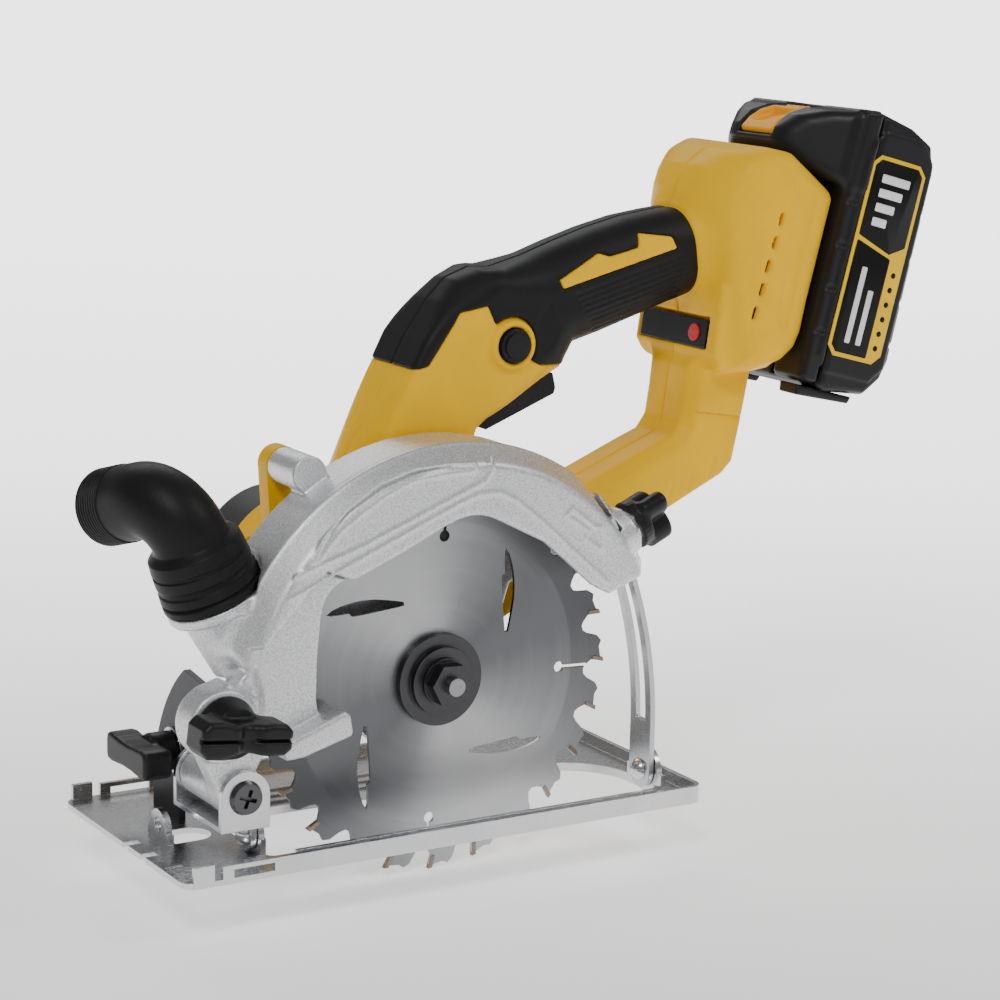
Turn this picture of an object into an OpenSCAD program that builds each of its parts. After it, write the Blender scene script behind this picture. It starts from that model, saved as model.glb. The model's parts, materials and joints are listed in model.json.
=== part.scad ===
// Cordless circular saw: pressed shoe, cast blade guard, geared brushless motor,
// loop handle and slide-on battery.
// X runs from the front of the saw to its rear, Y from the blade side to the motor side.
// The origin lies on the sole, in the blade's plane, under the blade's centre.

/* [Blade] */
// Diameter of the blade over its tooth tips
blade_d = 140; // [136:1:142]
// Number of teeth on the blade
tooth_count = 24; // [18:6:30]
// Thickness of the blade's plate
blade_t = 1.2; // [1:0.1:1.6]
// Width of the carbide tips, which is the width of the cut
kerf = 1.8; // [1.7:0.1:2.4]

/* [Shoe] */
// Thickness of the shoe's steel sheet
shoe_t = 2; // [1.6:0.1:2.2]
// Height of the shoe's folded rim
rim_h = 6.4; // [5:0.1:8]
// Front edge of the shoe, ahead of the blade's centre
shoe_front = 112.5; // [108:0.5:118]
// Rear edge of the shoe, behind the blade's centre
shoe_rear = 93.5; // [91:0.5:100]
// Distance from the blade's plane to the shoe's edge on the blade side
shoe_near = 34; // [33:0.5:40]
// Distance from the blade's plane to the shoe's edge on the motor side
shoe_far = 68; // [64:0.5:76]

/* [Cutting depth] */
// How far the saw body is turned up about its front pivot from level
depth_tilt = 9.5; // [2:0.5:10]

/* [Battery] */
// Width of the battery pack
pack_w = 75; // [72:1:78]
// Gap by which the battery stands off the handle's seat
pack_gap = 0.4; // [0.3:0.1:0.8]

/* [Hidden] */
$fn = 64;

// Sheet and clearance values shared by several parts
gap = 0.3;
run_gap = 0.05;
blade_r = blade_d / 2;

// Depth pivot, about which the saw body rises and falls on the bracket
pivot_x = -85;
pivot_z = 24.4;
pivot_r = 3;
barrel_r = 8;
// The blade's centre lies this far behind and above the depth pivot when the body is level
arm_back = 88;
arm_up = 11;
// Bevel axis, about which bracket and strap tilt on the shoe
bevel_y = -11;
bevel_z = 8;
rivet_r = 2.5;
// Near and far ears of the pivot bracket
ear_near = -22;
ear_far = 13.3;
ear_t = 2;
// Planes of the parts that stack up along the front bevel axis
lug_x = -77.9;
lug_t = 2;
quadrant_x = -86;
quadrant_t = 2.4;
clamp_plate_x = -83.3;
// Clamp bolt of the bevel scale, at this radius and angle from the bevel axis
clamp_r = 46.5;
clamp_angle = 24;
clamp_y = bevel_y + clamp_r * cos(clamp_angle);
clamp_z = bevel_z + clamp_r * sin(clamp_angle);
// Depth strap, bent round the depth pivot
strap_r = 165.3;
strap_t = 2;
strap_near = -17.5;
strap_w = 13;
strap_slot = 6;
rear_lug_x = pivot_x + strap_r + strap_t + gap;

// Guard casting
guard_r = 87;
guard_face_r = 81;
guard_c = [-1, -1];
guard_near = -20.5;
guard_shoulder = -12;
guard_far = 12;
guard_wall = 2.5;
guard_cavity_r = 80;
leg_near = -16.5;
pad_c = [-93, 16.6];
pad_r = 12.5;
// Rear clamp stud on the guard's end: radius from the depth pivot's axis
stud_angle = 16;
stud_r = 2.9;
// Outer face of the knob's seat, from the depth pivot's axis
knob_seat = 173.4;
// Dust spigot, its lean and its size
spigot_p = [-76.4, 5, 51.5];
spigot_lean = -14;
spigot_r = 14;
spigot_bore = 11.5;

// Gear pair and motor
gear_module = 0.8;
gear_teeth = 66;
pinion_teeth = 20;
gear_r = gear_module * gear_teeth / 2;
pinion_r = gear_module * pinion_teeth / 2;
motor_angle = 120;
motor_c = (gear_r + pinion_r) * [cos(motor_angle), sin(motor_angle)];
motor_r = 30;
case_near = 12.2;
case_far = 30;
case_r = 30.2;
gear_y = 20.5;
gear_w = 7;
housing_far = 66;
cap_far = 92;

// Handle: planes of its sides, its middle plane and its wall
handle_near = 13.5;
handle_far = 46.5;
handle_mid = 30;
wall = 2.5;
// Battery seat: leans back by this angle, and lies at this distance along its normal
seat_angle = 66;
seat_v = 121;
house_near = -4;
house_far = 64;
house_wall = 3;

// ---------------------------------------------------------------- helpers

// Places children, drawn level about the blade's centre, as the saw body stands at rest
module in_body() {
    translate([pivot_x, 0, pivot_z])
        rotate([0, -depth_tilt, 0])
            translate([arm_back, 0, arm_up])
                children();
}

// Extrudes an outline drawn in X and Z from y0 to y1
module slab(y0, y1) {
    translate([0, y1, 0])
        rotate([90, 0, 0])
            linear_extrude(y1 - y0)
                children();
}

// Extrudes an outline drawn in Y and Z from x0 to x1
module plate_x(x0, x1) {
    translate([x0, 0, 0])
        rotate([90, 0, 90])
            linear_extrude(x1 - x0)
                children();
}

// Round bar along Y, centred on c in X and Z
module bar_y(c, r, y0, y1, r_end = undef) {
    translate([c[0], y1, c[1]])
        rotate([90, 0, 0])
            cylinder(h = y1 - y0, r1 = r, r2 = is_undef(r_end) ? r : r_end);
}

// Round bar along X
module bar_x(y, z, r, x0, x1) {
    translate([x0, y, z])
        rotate([0, 90, 0])
            cylinder(h = x1 - x0, r = r);
}

// Rectangle with round corners, from corner a to corner b
module round_rect(a, b, r) {
    translate([a[0] + r, a[1]])
        square([b[0] - a[0] - 2 * r, b[1] - a[1]]);
    translate([a[0], a[1] + r])
        square([b[0] - a[0], b[1] - a[1] - 2 * r]);
    for (x = [a[0] + r, b[0] - r], y = [a[1] + r, b[1] - r])
        translate([x, y])
            circle(r);
}

function polar(r, a) = [r * cos(a), r * sin(a)];

// Two discs joined by their outer tangents
module link(c1, r1, c2, r2) {
    d = norm(c2 - c1);
    turn = atan2(c2[1] - c1[1], c2[0] - c1[0]);
    side = acos((r1 - r2) / d);
    translate(c1)
        circle(r1);
    translate(c2)
        circle(r2);
    // The flanks lie a hair inside the tangents, so that they cross the circles cleanly
    polygon([
        c1 + polar(r1 - 0.06, turn + side), c2 + polar(r2 - 0.06, turn + side),
        c2 + polar(r2 - 0.06, turn - side), c1 + polar(r1 - 0.06, turn - side)]);
}

// Arc points from angle a to angle b
function arc(c, r, a, b, steps) = [for (i = [0 : steps]) c + polar(r, a + (b - a) * i / steps)];

// Band between two radii and two angles
module sector(r0, r1, a, b, steps = 12) {
    polygon(concat(arc([0, 0], r1, a, b, steps), arc([0, 0], r0, b, a, steps)));
}

// Straight-sided spur gear outline with a root below its pitch circle
module gear_outline(teeth, slack) {
    pitch = gear_module * teeth / 2;
    step = 360 / teeth;
    half = step / 4 - slack / pitch * 180 / PI;
    flank = [[-1.6, -1.0], [0, -1.0], [0.8, -0.5], [0.8, 0.5], [0, 1.0], [-1.6, 1.0]];
    polygon([for (k = [0 : teeth - 1], p = flank)
        let (r = pitch + p[0] * gear_module * 0.75,
             widen = p[0] < 0 ? 1.35 : 1)
        polar(r, k * step + half * p[1] * widen)]);
}

// Point in the body's X and Z from the battery seat's own axes: u up along the seat, v out of it
function seat(u, v) = [
    u * cos(seat_angle) + v * sin(seat_angle),
    u * sin(seat_angle) - v * cos(seat_angle)];

// Box in the seat's axes, from (u0, v0, y0) to (u1, v1, y1)
module seat_box(u0, u1, v0, v1, y0, y1) {
    slab(y0, y1)
        polygon([seat(u0, v0), seat(u1, v0), seat(u1, v1), seat(u0, v1)]);
}

// ---------------------------------------------------------------- shoe

window_front = lug_x + lug_t;
window_near = -20.5;
window_far = 24;
window_rear = rear_lug_x;

module window_outline(grow) {
    difference() {
        round_rect([window_front - grow, window_near - grow],
                   [window_rear + grow, window_far + grow], 4);
        // The far rear corner is cut back in a wide curve
        difference() {
            translate([60 - grow, window_far - 25 - grow])
                square([50, 50]);
            translate([window_rear - 26, window_far - 26])
                circle(26 + grow);
            translate([60 - grow, window_near])
                square([50, window_far - 26 - window_near]);
            translate([40, window_near])
                square([window_rear - 26 - 40, window_far - window_near + grow]);
        }
    }
}

module bevel_lug(x0, w_base, top) {
    difference() {
        plate_x(x0, x0 + lug_t)
            union() {
                translate([bevel_y - w_base / 2, 0])
                    square([w_base, bevel_z]);
                translate([bevel_y - 7, 0])
                    square([14, bevel_z]);
                translate([bevel_y, bevel_z])
                    circle(top);
            }
        bar_x(bevel_y, bevel_z, rivet_r + run_gap, x0 - 1, x0 + lug_t + 1);
    }
}

fence_lug_x = -101;
fence_lug_y = 13;
fence_lug_z = 7.4;
fence_thread_r = 2.5;

module shoe_plate() {
    color("silver") {
        difference() {
            union() {
                linear_extrude(shoe_t)
                    difference() {
                        round_rect([-shoe_front, -shoe_near], [shoe_rear, shoe_far], 5);
                        window_outline(0);
                    }
                // Folded rim on both sides and across the rear
                difference() {
                    linear_extrude(rim_h)
                        difference() {
                            round_rect([-shoe_front, -shoe_near], [shoe_rear, shoe_far], 5);
                            round_rect([-shoe_front + 1.6, -shoe_near + 1.6],
                                       [shoe_rear - 1.6, shoe_far - 1.6], 3.4);
                        }
                    translate([-shoe_front - 1, -shoe_near - 1, shoe_t])
                        cube([14.5, shoe_near + shoe_far + 2, rim_h]);
                }
                // Raised lip round the blade window
                linear_extrude(shoe_t + 1.2)
                    intersection() {
                        difference() {
                            window_outline(1.6);
                            window_outline(0);
                        }
                        translate([-66, -30])
                            square([200, 60]);
                    }
                // Front corner tabs
                for (y = [-shoe_near, shoe_far - 1.6])
                    translate([-shoe_front + 3, y, 0])
                        cube([7.5, 1.6, rim_h + 1]);
                // Stiffening ribs beyond the window
                for (y = [30, 36.5, 43])
                    translate([-62, y, shoe_t])
                        cube([120, 3, 1]);
                // Grip ridges on the front corner
                for (i = [0 : 5])
                    translate([-shoe_front + 1.5, -31 + i * 3, shoe_t])
                        cube([11 - i, 1.2, 0.5]);
                // Upright lug that carries the rip fence's clamp screw
                plate_x(fence_lug_x, fence_lug_x + 2.4)
                    union() {
                        translate([fence_lug_y - 8, 0])
                            square([16, fence_lug_z - 2]);
                        translate([fence_lug_y, fence_lug_z - 1])
                            circle(6.4);
                        translate([fence_lug_y - 6.4, 0])
                            square([12.8, fence_lug_z - 1]);
                    }
            }
            // Openings in the side rims for a rip fence bar
            for (y = [-shoe_near - 1, shoe_far - 2.6])
                translate([-95, y, shoe_t])
                    cube([15, 3.6, 2.8]);
            // Hole the fence lug is punched from
            translate([fence_lug_x + 3.4, fence_lug_y - 7, -1])
                cube([9, 14, shoe_t + 2]);
            translate([fence_lug_x + 12.4, fence_lug_y, -1])
                cylinder(h = shoe_t + 2, r = 7);
            bar_x(fence_lug_y, fence_lug_z, fence_thread_r, fence_lug_x - 1, fence_lug_x + 3.4);
            // Sight notches for square and full bevel cuts
            for (y = [0, 14])
                translate([-shoe_front - 1, y - 2, -1])
                    cube([6, 4, shoe_t + 2]);
        }
        bevel_lug(lug_x, 16, 7);
        bevel_lug(rear_lug_x, 22, 8.5);
    }
}

// Scale plate that the bevel knob clamps: an arc about the bevel axis on a foot on the shoe
module bevel_quadrant() {
    color([0.12, 0.12, 0.13])
        plate_x(quadrant_x, quadrant_x + quadrant_t)
            difference() {
                union() {
                    translate([bevel_y, bevel_z])
                        sector(39, 60.5, 6, 72, 24);
                    translate([bevel_y + 39, shoe_t])
                        square([21.5, 16]);
                }
                translate([bevel_y, bevel_z]) {
                    // Slot the clamp bolt travels along
                    sector(clamp_r - 3.4, clamp_r + 3.4, clamp_angle, 90, 24);
                    translate(polar(clamp_r, clamp_angle))
                        circle(3.4);
                    // The arc's outer corner is cut off
                    polygon([polar(61, 54), polar(52, 66), polar(52, 80), polar(75, 80), polar(75, 54)]);
                }
            }
}

module bevel_rivet(x_front, x_back) {
    bar_x(bevel_y, bevel_z, rivet_r, x_front - 0.2, x_back);
    // Domed head in front, closed tail behind
    intersection() {
        translate([x_front + 1.1, bevel_y, bevel_z])
            sphere(4.2);
        translate([x_front - 3.1, bevel_y - 5, bevel_z - 5])
            cube([3, 10, 10]);
    }
    bar_x(bevel_y, bevel_z, 3.9, x_back, x_back + 1.4);
}

module front_bevel_rivet() {
    color([0.8, 0.8, 0.82])
        bevel_rivet(lug_x - gap - 2, lug_x + lug_t);
}

module rear_bevel_rivet() {
    color([0.8, 0.8, 0.82])
        bevel_rivet(pivot_x + strap_r, rear_lug_x + lug_t);
}

// ---------------------------------------------------------------- bevel carrier

module ear_outline() {
    union() {
        translate([pivot_x, pivot_z])
            circle(9);
        translate([pivot_x - 9, 13])
            square([18, pivot_z - 13]);
    }
}

module pivot_bracket() {
    web_x = lug_x - gap - 2;
    color([0.75, 0.76, 0.78])
        difference() {
            union() {
                slab(ear_near, ear_near + ear_t)
                    ear_outline();
                slab(ear_far, ear_far + ear_t)
                    ear_outline();
                // Floor under the barrel
                translate([pivot_x - 9, ear_near, 13])
                    cube([lug_x - gap - pivot_x + 9, ear_far + ear_t - ear_near, 1.8]);
                // Tongue that hangs down to the bevel rivet
                plate_x(web_x, web_x + 2)
                    union() {
                        translate([bevel_y, bevel_z])
                            circle(5.6);
                        translate([bevel_y - 5.6, bevel_z])
                            square([11.2, 6.8]);
                    }
                // Wing that carries the bevel clamp bolt
                plate_x(clamp_plate_x, clamp_plate_x + 2)
                    difference() {
                        union() {
                            translate([ear_far, 13])
                                square([clamp_y - ear_far, clamp_z - 13]);
                            translate([ear_far, 20])
                                square([clamp_y - ear_far, clamp_z + 7 - 20]);
                            translate([clamp_y, clamp_z])
                                circle(7);
                            translate([clamp_y - 7, clamp_z - 7])
                                square([7, 7]);
                        }
                        translate([ear_far - 1, pivot_z + 6])
                            square([4, 20]);
                    }
            }
            bar_y([pivot_x, pivot_z], pivot_r + run_gap, ear_near - 1, ear_far + ear_t + 1);
            bar_x(bevel_y, bevel_z, rivet_r + run_gap, web_x - 1, web_x + 3);
            bar_x(clamp_y, clamp_z, 3.1, clamp_plate_x - 1, clamp_plate_x + 3);
            // Room for the nut on the pivot screw
            bar_y([pivot_x, pivot_z], 6.2, ear_far + ear_t, ear_far + ear_t + 6);
        }
}

// Curved strap about the depth pivot, flattened at the foot where it is riveted
module depth_strap() {
    foot_x = pivot_x + strap_r;
    top_angle = depth_tilt + stud_angle + 3.4;
    color([0.62, 0.63, 0.65])
        difference() {
            union() {
                translate([pivot_x, strap_near + strap_w, pivot_z])
                    rotate([90, 0, 0])
                        linear_extrude(strap_w)
                            sector(strap_r, strap_r + strap_t, -0.9, top_angle, 40);
                plate_x(foot_x, foot_x + strap_t)
                    union() {
                        translate([strap_near, bevel_z])
                            square([strap_w, 14.5]);
                        translate([bevel_y, bevel_z])
                            circle(strap_w / 2);
                    }
            }
            // Slot for the clamp stud
            translate([pivot_x, bevel_y + strap_slot / 2, pivot_z])
                rotate([90, 0, 0])
                    linear_extrude(strap_slot)
                        sector(strap_r - 1, strap_r + strap_t + 1, 0.9, top_angle - 1.2, 40);
            bar_x(bevel_y, bevel_z, rivet_r + run_gap, foot_x - 1, foot_x + strap_t + 1);
        }
}

// Cross-head screw that is the depth pivot, with its nut on the far ear
module depth_pivot_screw() {
    color([0.3, 0.3, 0.32])
        difference() {
            union() {
                bar_y([pivot_x, pivot_z], pivot_r, ear_near, ear_far + ear_t + 5);
                bar_y([pivot_x, pivot_z], 6, ear_near - 2, ear_near, 5.2);
                translate([pivot_x, ear_far + ear_t + 4.4, pivot_z])
                    rotate([90, 0, 0])
                        cylinder(h = 4.4, r = 5.6, $fn = 6);
            }
            for (a = [20, 110])
                translate([pivot_x, ear_near - 1.1, pivot_z])
                    rotate([0, a, 0])
                        cube([6.4, 2, 1.3], center = true);
        }
}

module bevel_clamp_bolt() {
    color([0.55, 0.55, 0.57]) {
        bar_x(clamp_y, clamp_z, 3, -96, clamp_plate_x + 2);
        translate([clamp_plate_x + 2, clamp_y, clamp_z])
            rotate([0, 90, 0])
                cylinder(h = 3.6, r = 5.6, $fn = 6);
    }
}

// ---------------------------------------------------------------- saw body castings

// Area the guard covers: the arch, cut off at the rear end, and the front leg
module guard_area() {
    polygon([[-100, 3], [-100, 100], [100, 100], [100, 25], [63, 18], [57, 22.3],
             [40, 22.3], [30, 3]]);
}

// Opening in the near face that shows the blade
module guard_opening() {
    polygon(concat([[-54.5, -20], [-54.5, 12], [-52, 26], [-48.6, 39]],
                   arc([-35.5, 37.5], 13, 168, 112, 4),
                   [[-16, 55.1], [0.5, 59.7]],
                   arc([9, 40.5], 20.5, 98, 52, 5),
                   [[38.9, 44], [47.9, 33.4], [57, 22.3], [63, 14], [63, -20]]));
}

// Whole arch before it is hollowed
module guard_outer() {
    difference() {
        union() {
            bar_y(guard_c, guard_r, guard_shoulder, guard_far);
            translate([guard_c[0], guard_shoulder, guard_c[1]])
                rotate([90, 0, 0])
                    cylinder(h = guard_shoulder - guard_near, r1 = guard_r, r2 = guard_face_r);
        }
        // Front leg is cut off straight ahead of the blade
        slab(-50, 50)
            polygon([[-74, -100], [-74, 30], [-78, 30], [-100, 70], [-100, -100]]);
        // The leg's face stands back from the arch's face
        slab(guard_near - 1, leg_near)
            leg_area();
    }
}

module leg_area() {
    polygon([[-100, 0], [-100, 36], [-72, 36], [-45, 56], [-36, 50], [-50, 20], [-50, 0]]);
}

module blade_space() {
    intersection() {
        translate(guard_c)
            circle(guard_cavity_r);
        translate([-71.6, -100])
            square([200, 300]);
    }
}

module guard_space() {
    slab(guard_near + guard_wall, guard_far - guard_wall)
        difference() {
            blade_space();
            leg_area();
        }
    slab(leg_near + guard_wall, guard_far - guard_wall)
        blade_space();
    slab(guard_near - 2, guard_far - guard_wall)
        guard_opening();
    // Far wall ends above the blade's rear
    slab(guard_far - guard_wall - 1, guard_far + 1)
        polygon([[27, -5], [84, 39], [100, 30], [100, -5]]);
}

module front_lug() {
    // Pad for the front knob, joined down to the pivot barrel
    bar_y(pad_c, pad_r, -26, -13);
    slab(-19.5, -10)
        link(pad_c, 9, [-arm_back, -arm_up], barrel_r - 0.6);
    bar_y([-arm_back, -arm_up], barrel_r, ear_near + ear_t + gap, ear_far - gap);
    // Webs from lug and barrel back to the guard's leg
    slab(-15.5, -9)
        polygon([[-93, 20], [-73, 31], [-72.8, 4], [-80, -5]]);
    slab(-15, 11)
        polygon([[-77, 12], [-72.8, 22], [-72.8, 4], [-79, -4], [-83, -6]]);
}

module line_shelf() {
    // Shelf at the foot of the leg, beside the blade
    intersection() {
        plate_x(-74, -46)
            polygon([[-24, -3], [-4, -3], [-4, 8], [-16.5, 4.8], [-24, 3]]);
        translate([0, 0, -10])
            linear_extrude(30)
                union() {
                    round_rect([-74, -24], [-46, 6], 4);
                    translate([-60, -24])
                        square([14, 20]);
                }
    }
}

// Round duct that widens from the leg up to the dust spigot
module dust_neck(r_top, r_foot, low, high) {
    translate(spigot_p)
        rotate([0, spigot_lean, 0])
            translate([0, 0, low])
                cylinder(h = high - low, r1 = r_foot, r2 = r_top);
}

module guard_casting() {
    intersection() {
        guard_outer();
        slab(guard_near - 1, guard_far + 1)
            guard_area();
    }
    front_lug();
    dust_neck(14, 10.5, -25, -3);
    translate(spigot_p)
        rotate([0, spigot_lean, 0])
            translate([0, 0, -4])
                cylinder(h = 4, r = 17.4);
    // Boss for the housing screw
    bar_y(housing_ear, 6.4, 2, 22);
    // Seat for the rear clamp knob
    at_stud()
        translate([0, 0, strap_r + 3])
            cylinder(h = knob_seat - strap_r - 3, r = 9);
}

module blade_guard() {
    color([0.78, 0.79, 0.8])
        in_body()
            difference() {
                union() {
                    difference() {
                        guard_casting();
                        guard_space();
                    }
                    line_shelf();
                }
                dust_neck(spigot_bore, 8, -27, -3);
                translate(spigot_p)
                    rotate([0, spigot_lean, 0])
                        translate([0, 0, -6])
                            cylinder(h = 12, r = spigot_bore);
                // Scoop that the dust elbow's collar turns in
                translate(spigot_p)
                    rotate([0, spigot_lean, 0])
                        translate([0, 0, -0.2])
                            cylinder(h = 24, r = 18.5);
                // Spindle passes through the far wall
                bar_y([0, 0], 15, guard_far - guard_wall - 1, guard_far + 1);
                bar_y([-arm_back, -arm_up], pivot_r + run_gap, -40, 40);
                // Thread for the front clamp stud
                bar_y(pad_c, 3, -27, -14);
                // Gap the depth strap slides through
                translate([-arm_back, strap_near + strap_w + 0.5, -arm_up])
                    rotate([90, 0, 0])
                        linear_extrude(strap_w + 1)
                            sector(strap_r - 0.4, strap_r + strap_t + 0.4, -12, 31, 40);
                stud_bore(stud_r + run_gap);
                // Room for the clamp stud's head inside the arch
                at_stud()
                    translate([0, 0, strap_r - 12])
                        cylinder(h = 11.7, r = 6.4);
                bar_y(housing_ear, 2, 8, 23);
            }
}

// Places children at the rear clamp stud: +Z points out of the arch, away from the depth pivot
module at_stud() {
    translate([-arm_back, bevel_y, -arm_up])
        rotate([0, 90 - stud_angle, 0])
            children();
}

module stud_bore(r) {
    at_stud()
        translate([0, 0, strap_r - 12])
            cylinder(h = 40, r = r);
}

module dust_spigot() {
    color([0.7, 0.71, 0.72])
        in_body()
            translate(spigot_p)
                rotate([0, spigot_lean, 0])
                    difference() {
                        translate([0, 0, -0.2])
                            cylinder(h = 8.2, r = spigot_r);
                        translate([0, 0, -1])
                            cylinder(h = 10, r = spigot_bore);
                    }
}

module case_outline(r1, r2) {
    link([0, 0], r1, motor_c, r2);
}

module gear_case() {
    color([0.72, 0.73, 0.75])
        in_body()
            difference() {
                union() {
                    slab(case_near, case_far)
                        case_outline(case_r, 24);
                    bar_y([0, 0], 14.6, guard_far - guard_wall, case_near);
                }
                slab(gear_y - 1, case_far + 1)
                    case_outline(gear_r + 1.6, pinion_r + 2.2);
                bar_y([0, 0], 11, 11, gear_y);
                bar_y([0, 0], 8, 0, 12);
                bar_y(motor_c, 8, case_near + 2, gear_y);
            }
}

housing_ear = [-36, 83.5];

module motor_housing() {
    color([0.98, 0.78, 0.05])
        in_body()
            difference() {
                union() {
                    slab(case_far + 0.1, case_far + 4)
                        case_outline(case_r, motor_r + 1);
                    bar_y(motor_c, motor_r, case_far + 0.1, housing_far);
                    // Flange that follows the guard's rim to its screw boss
                    difference() {
                        slab(22.2, 29)
                            union() {
                                link(motor_c, motor_r, housing_ear, 6.5);
                                link(motor_c, motor_r, [-53, 55], 7);
                            }
                        slab(20, 30)
                            case_outline(case_r + 0.2, 24.2);
                    }
                    bar_y(motor_c, motor_r, 28.5, case_far + 0.2);
                }
                // Inside: motor bore, bearing seats and shaft hole
                bar_y(motor_c, motor_r - wall, case_far + 12, housing_far + 1);
                bar_y(motor_c, 23.9, 20, 30.05);
                bar_y(motor_c, 6, case_far - 2, case_far + 13);
                bar_y(motor_c, 9.5, case_far + 5, case_far + 13);
                bar_y([0, 0], 9.5, case_far - 1, case_far + 2.6);
                bar_y(housing_ear, 2.4, 20, 35);
                slab(20, case_far)
                    case_outline(case_r + 0.1, 24.1);
            }
}

module motor_cap() {
    color([0.2, 0.2, 0.21])
        in_body()
            difference() {
                union() {
                    bar_y(motor_c, motor_r - 0.5, housing_far + 0.1, cap_far - 5);
                    bar_y(motor_c, motor_r - 5.5, cap_far - 5, cap_far);
                    bar_y(motor_c, motor_r - 5.5, cap_far - 5, cap_far, motor_r - 0.5);
                }
                bar_y(motor_c, motor_r - 0.5 - wall, housing_far - 1, cap_far - 7);
                bar_y(motor_c, 6.5, cap_far - 8, cap_far - 3);
                // Air slots in the end face
                for (a = [0 : 30 : 330])
                    translate([motor_c[0], cap_far - 4, motor_c[1]])
                        rotate([0, a, 0])
                            translate([15, 0, 0])
                                cube([12, 12, 2.4], center = true);
            }
}

module motor_stator() {
    color([0.55, 0.55, 0.58])
        in_body()
            difference() {
                bar_y(motor_c, motor_r - wall, 46, 66);
                bar_y(motor_c, 14, 45, 67);
            }
}

module motor_windings() {
    color([0.72, 0.4, 0.18])
        in_body()
            for (y = [[43, 46], [66, 70]])
                difference() {
                    bar_y(motor_c, 25, y[0], y[1]);
                    bar_y(motor_c, 16, y[0] - 1, y[1] + 1);
                }
}

module housing_screw() {
    color([0.25, 0.25, 0.26])
        in_body() {
            bar_y(housing_ear, 2, 10, 29);
            bar_y(housing_ear, 4, 29, 31.6, 3);
        }
}

module ball_bearing(c, r_out, r_in, y0, y1) {
    difference() {
        bar_y(c, r_out, y0, y1);
        bar_y(c, r_in, y0 - 1, y1 + 1);
    }
}

module spindle_front_bearing() {
    color([0.7, 0.7, 0.72])
        in_body()
            ball_bearing([0, 0], 11, 6 + run_gap, 12, 19);
}

module spindle_rear_bearing() {
    color([0.7, 0.7, 0.72])
        in_body()
            ball_bearing([0, 0], 9.5, 4 + run_gap, 28, 32.6);
}

module rotor_front_bearing() {
    color([0.7, 0.7, 0.72])
        in_body()
            ball_bearing(motor_c, 9.5, 4 + run_gap, 35, 41);
}

module rotor_rear_bearing() {
    color([0.7, 0.7, 0.72])
        in_body()
            ball_bearing(motor_c, 6.5, 3 + run_gap, 84, 89);
}

module depth_clamp_stud() {
    color([0.5, 0.5, 0.52])
        in_body()
            at_stud() {
                translate([0, 0, strap_r - 6.4])
                    cylinder(h = 5.8, r = 6, $fn = 6);
                translate([0, 0, strap_r - 1])
                    cylinder(h = 22, r = stud_r);
            }
}

module front_clamp_stud() {
    color([0.5, 0.5, 0.52])
        in_body()
            bar_y(pad_c, 3, -36, -14);
}

// ---------------------------------------------------------------- handle and housing

grip_top = [[14, 105.9], [21.2, 115], [32.5, 126.2], [40, 132.4], [50.1, 134], [58.6, 131.9],
            [72.4, 133.3], [86.9, 135.8], [115.7, 138.8], [139.2, 138]];
// Line where the soft grip ends on the side of the handle
grip_line = [[139.2, 106.4], [95.9, 100.6], [84.6, 99.4], [78.5, 93.5], [65.3, 96.8], [56, 104],
             [50, 113.9], [47.5, 122.4], [36.4, 122.4], [20.6, 106.5]];
button_c = [55, 106.5];

module grip_outline() {
    polygon(concat(grip_top, grip_line));
}

// Core that carries the soft grip, one wall inside it
module core_outline() {
    polygon([[17.6, 104.5], [23.2, 113.4], [34, 124], [41, 129.6], [50, 131.5], [58.6, 129.4],
             [72.6, 130.8], [87, 133.3], [115.8, 136.3], [139.4, 135.5],
             [139.4, 109], [95.5, 103.2], [83.5, 102], [77.5, 94.5], [71, 92.5], [40, 90]]);
}

module neck_outline() {
    polygon([[-30, 50], [-22, 63], [-13, 74], [14, 105.9], [20.6, 106.5], [36.4, 122.4],
             [47.5, 122.4], [50, 113.9], [56, 104], [65.3, 96.8], [78.5, 93.5], [71, 92.5],
             [37.5, 85], [32, 70], [28, 54], [26, 44], [30, 36.2], [0, 10]]);
}

module arm_outline() {
    difference() {
        polygon([[0, 28], [30, 36.2], [80.6, 46.3], [112.7, 54], [122, 55.2], [126.5, 59], [131, 79],
                 [134.6, 87], [150, 87], seat(142.5, seat_v), seat(131, seat_v), [156, 69.5],
                 [144.8, 38.9], [140, 36.6], [113.7, 29.6], [20, 2.4], [5, 0]]);
    }
}

module house_outline() {
    polygon([[139, 140], [143, 147], [150, 153], [173, 155], seat(212, seat_v - 2),
             seat(210, seat_v), seat(142.5, seat_v), [147, 81], [134.5, 82], [138.6, 98],
             [139.4, 106]]);
}

module neck_cavity() {
    polygon([[-8.5, 75], [18, 102.5], [27.5, 113], [36, 121.3], [42, 126], [52, 127.8], [60, 126.4],
             [74, 127.6], [88, 130.2], [116, 133], [150, 132.5], [150, 112], [139.4, 112],
             [96, 106.5], [80, 105.2], [70, 96], [39, 89], [34.5, 84], [29.5, 71], [25, 56],
             [12, 62], [-4, 65.5], [-16.5, 64.5]]);
}

module arm_cavity() {
    polygon([[40, 35.5], [80, 43.5], [112, 51], [123.5, 52.6], [129, 58], [133.5, 78], [138, 86],
             [149, 84], [160, 79], [153.6, 69.5], [142.8, 41.2], [113, 32.3], [40, 11.5]]);
}

module house_cavity() {
    polygon([[142, 139], [145.5, 145.5], [151, 150], [172, 152], seat(207, seat_v - 3),
             seat(145.5, seat_v - 3), [150, 84.5], [140, 84.5], [141.8, 98], [142.2, 106]]);
}

// Screw bosses that hold the two halves together
grip_boss = [100, 118];
handle_bosses = [[2, 82], grip_boss, [128, 47], [60, 33], [147, 73]];
boss_r = 4;

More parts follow.
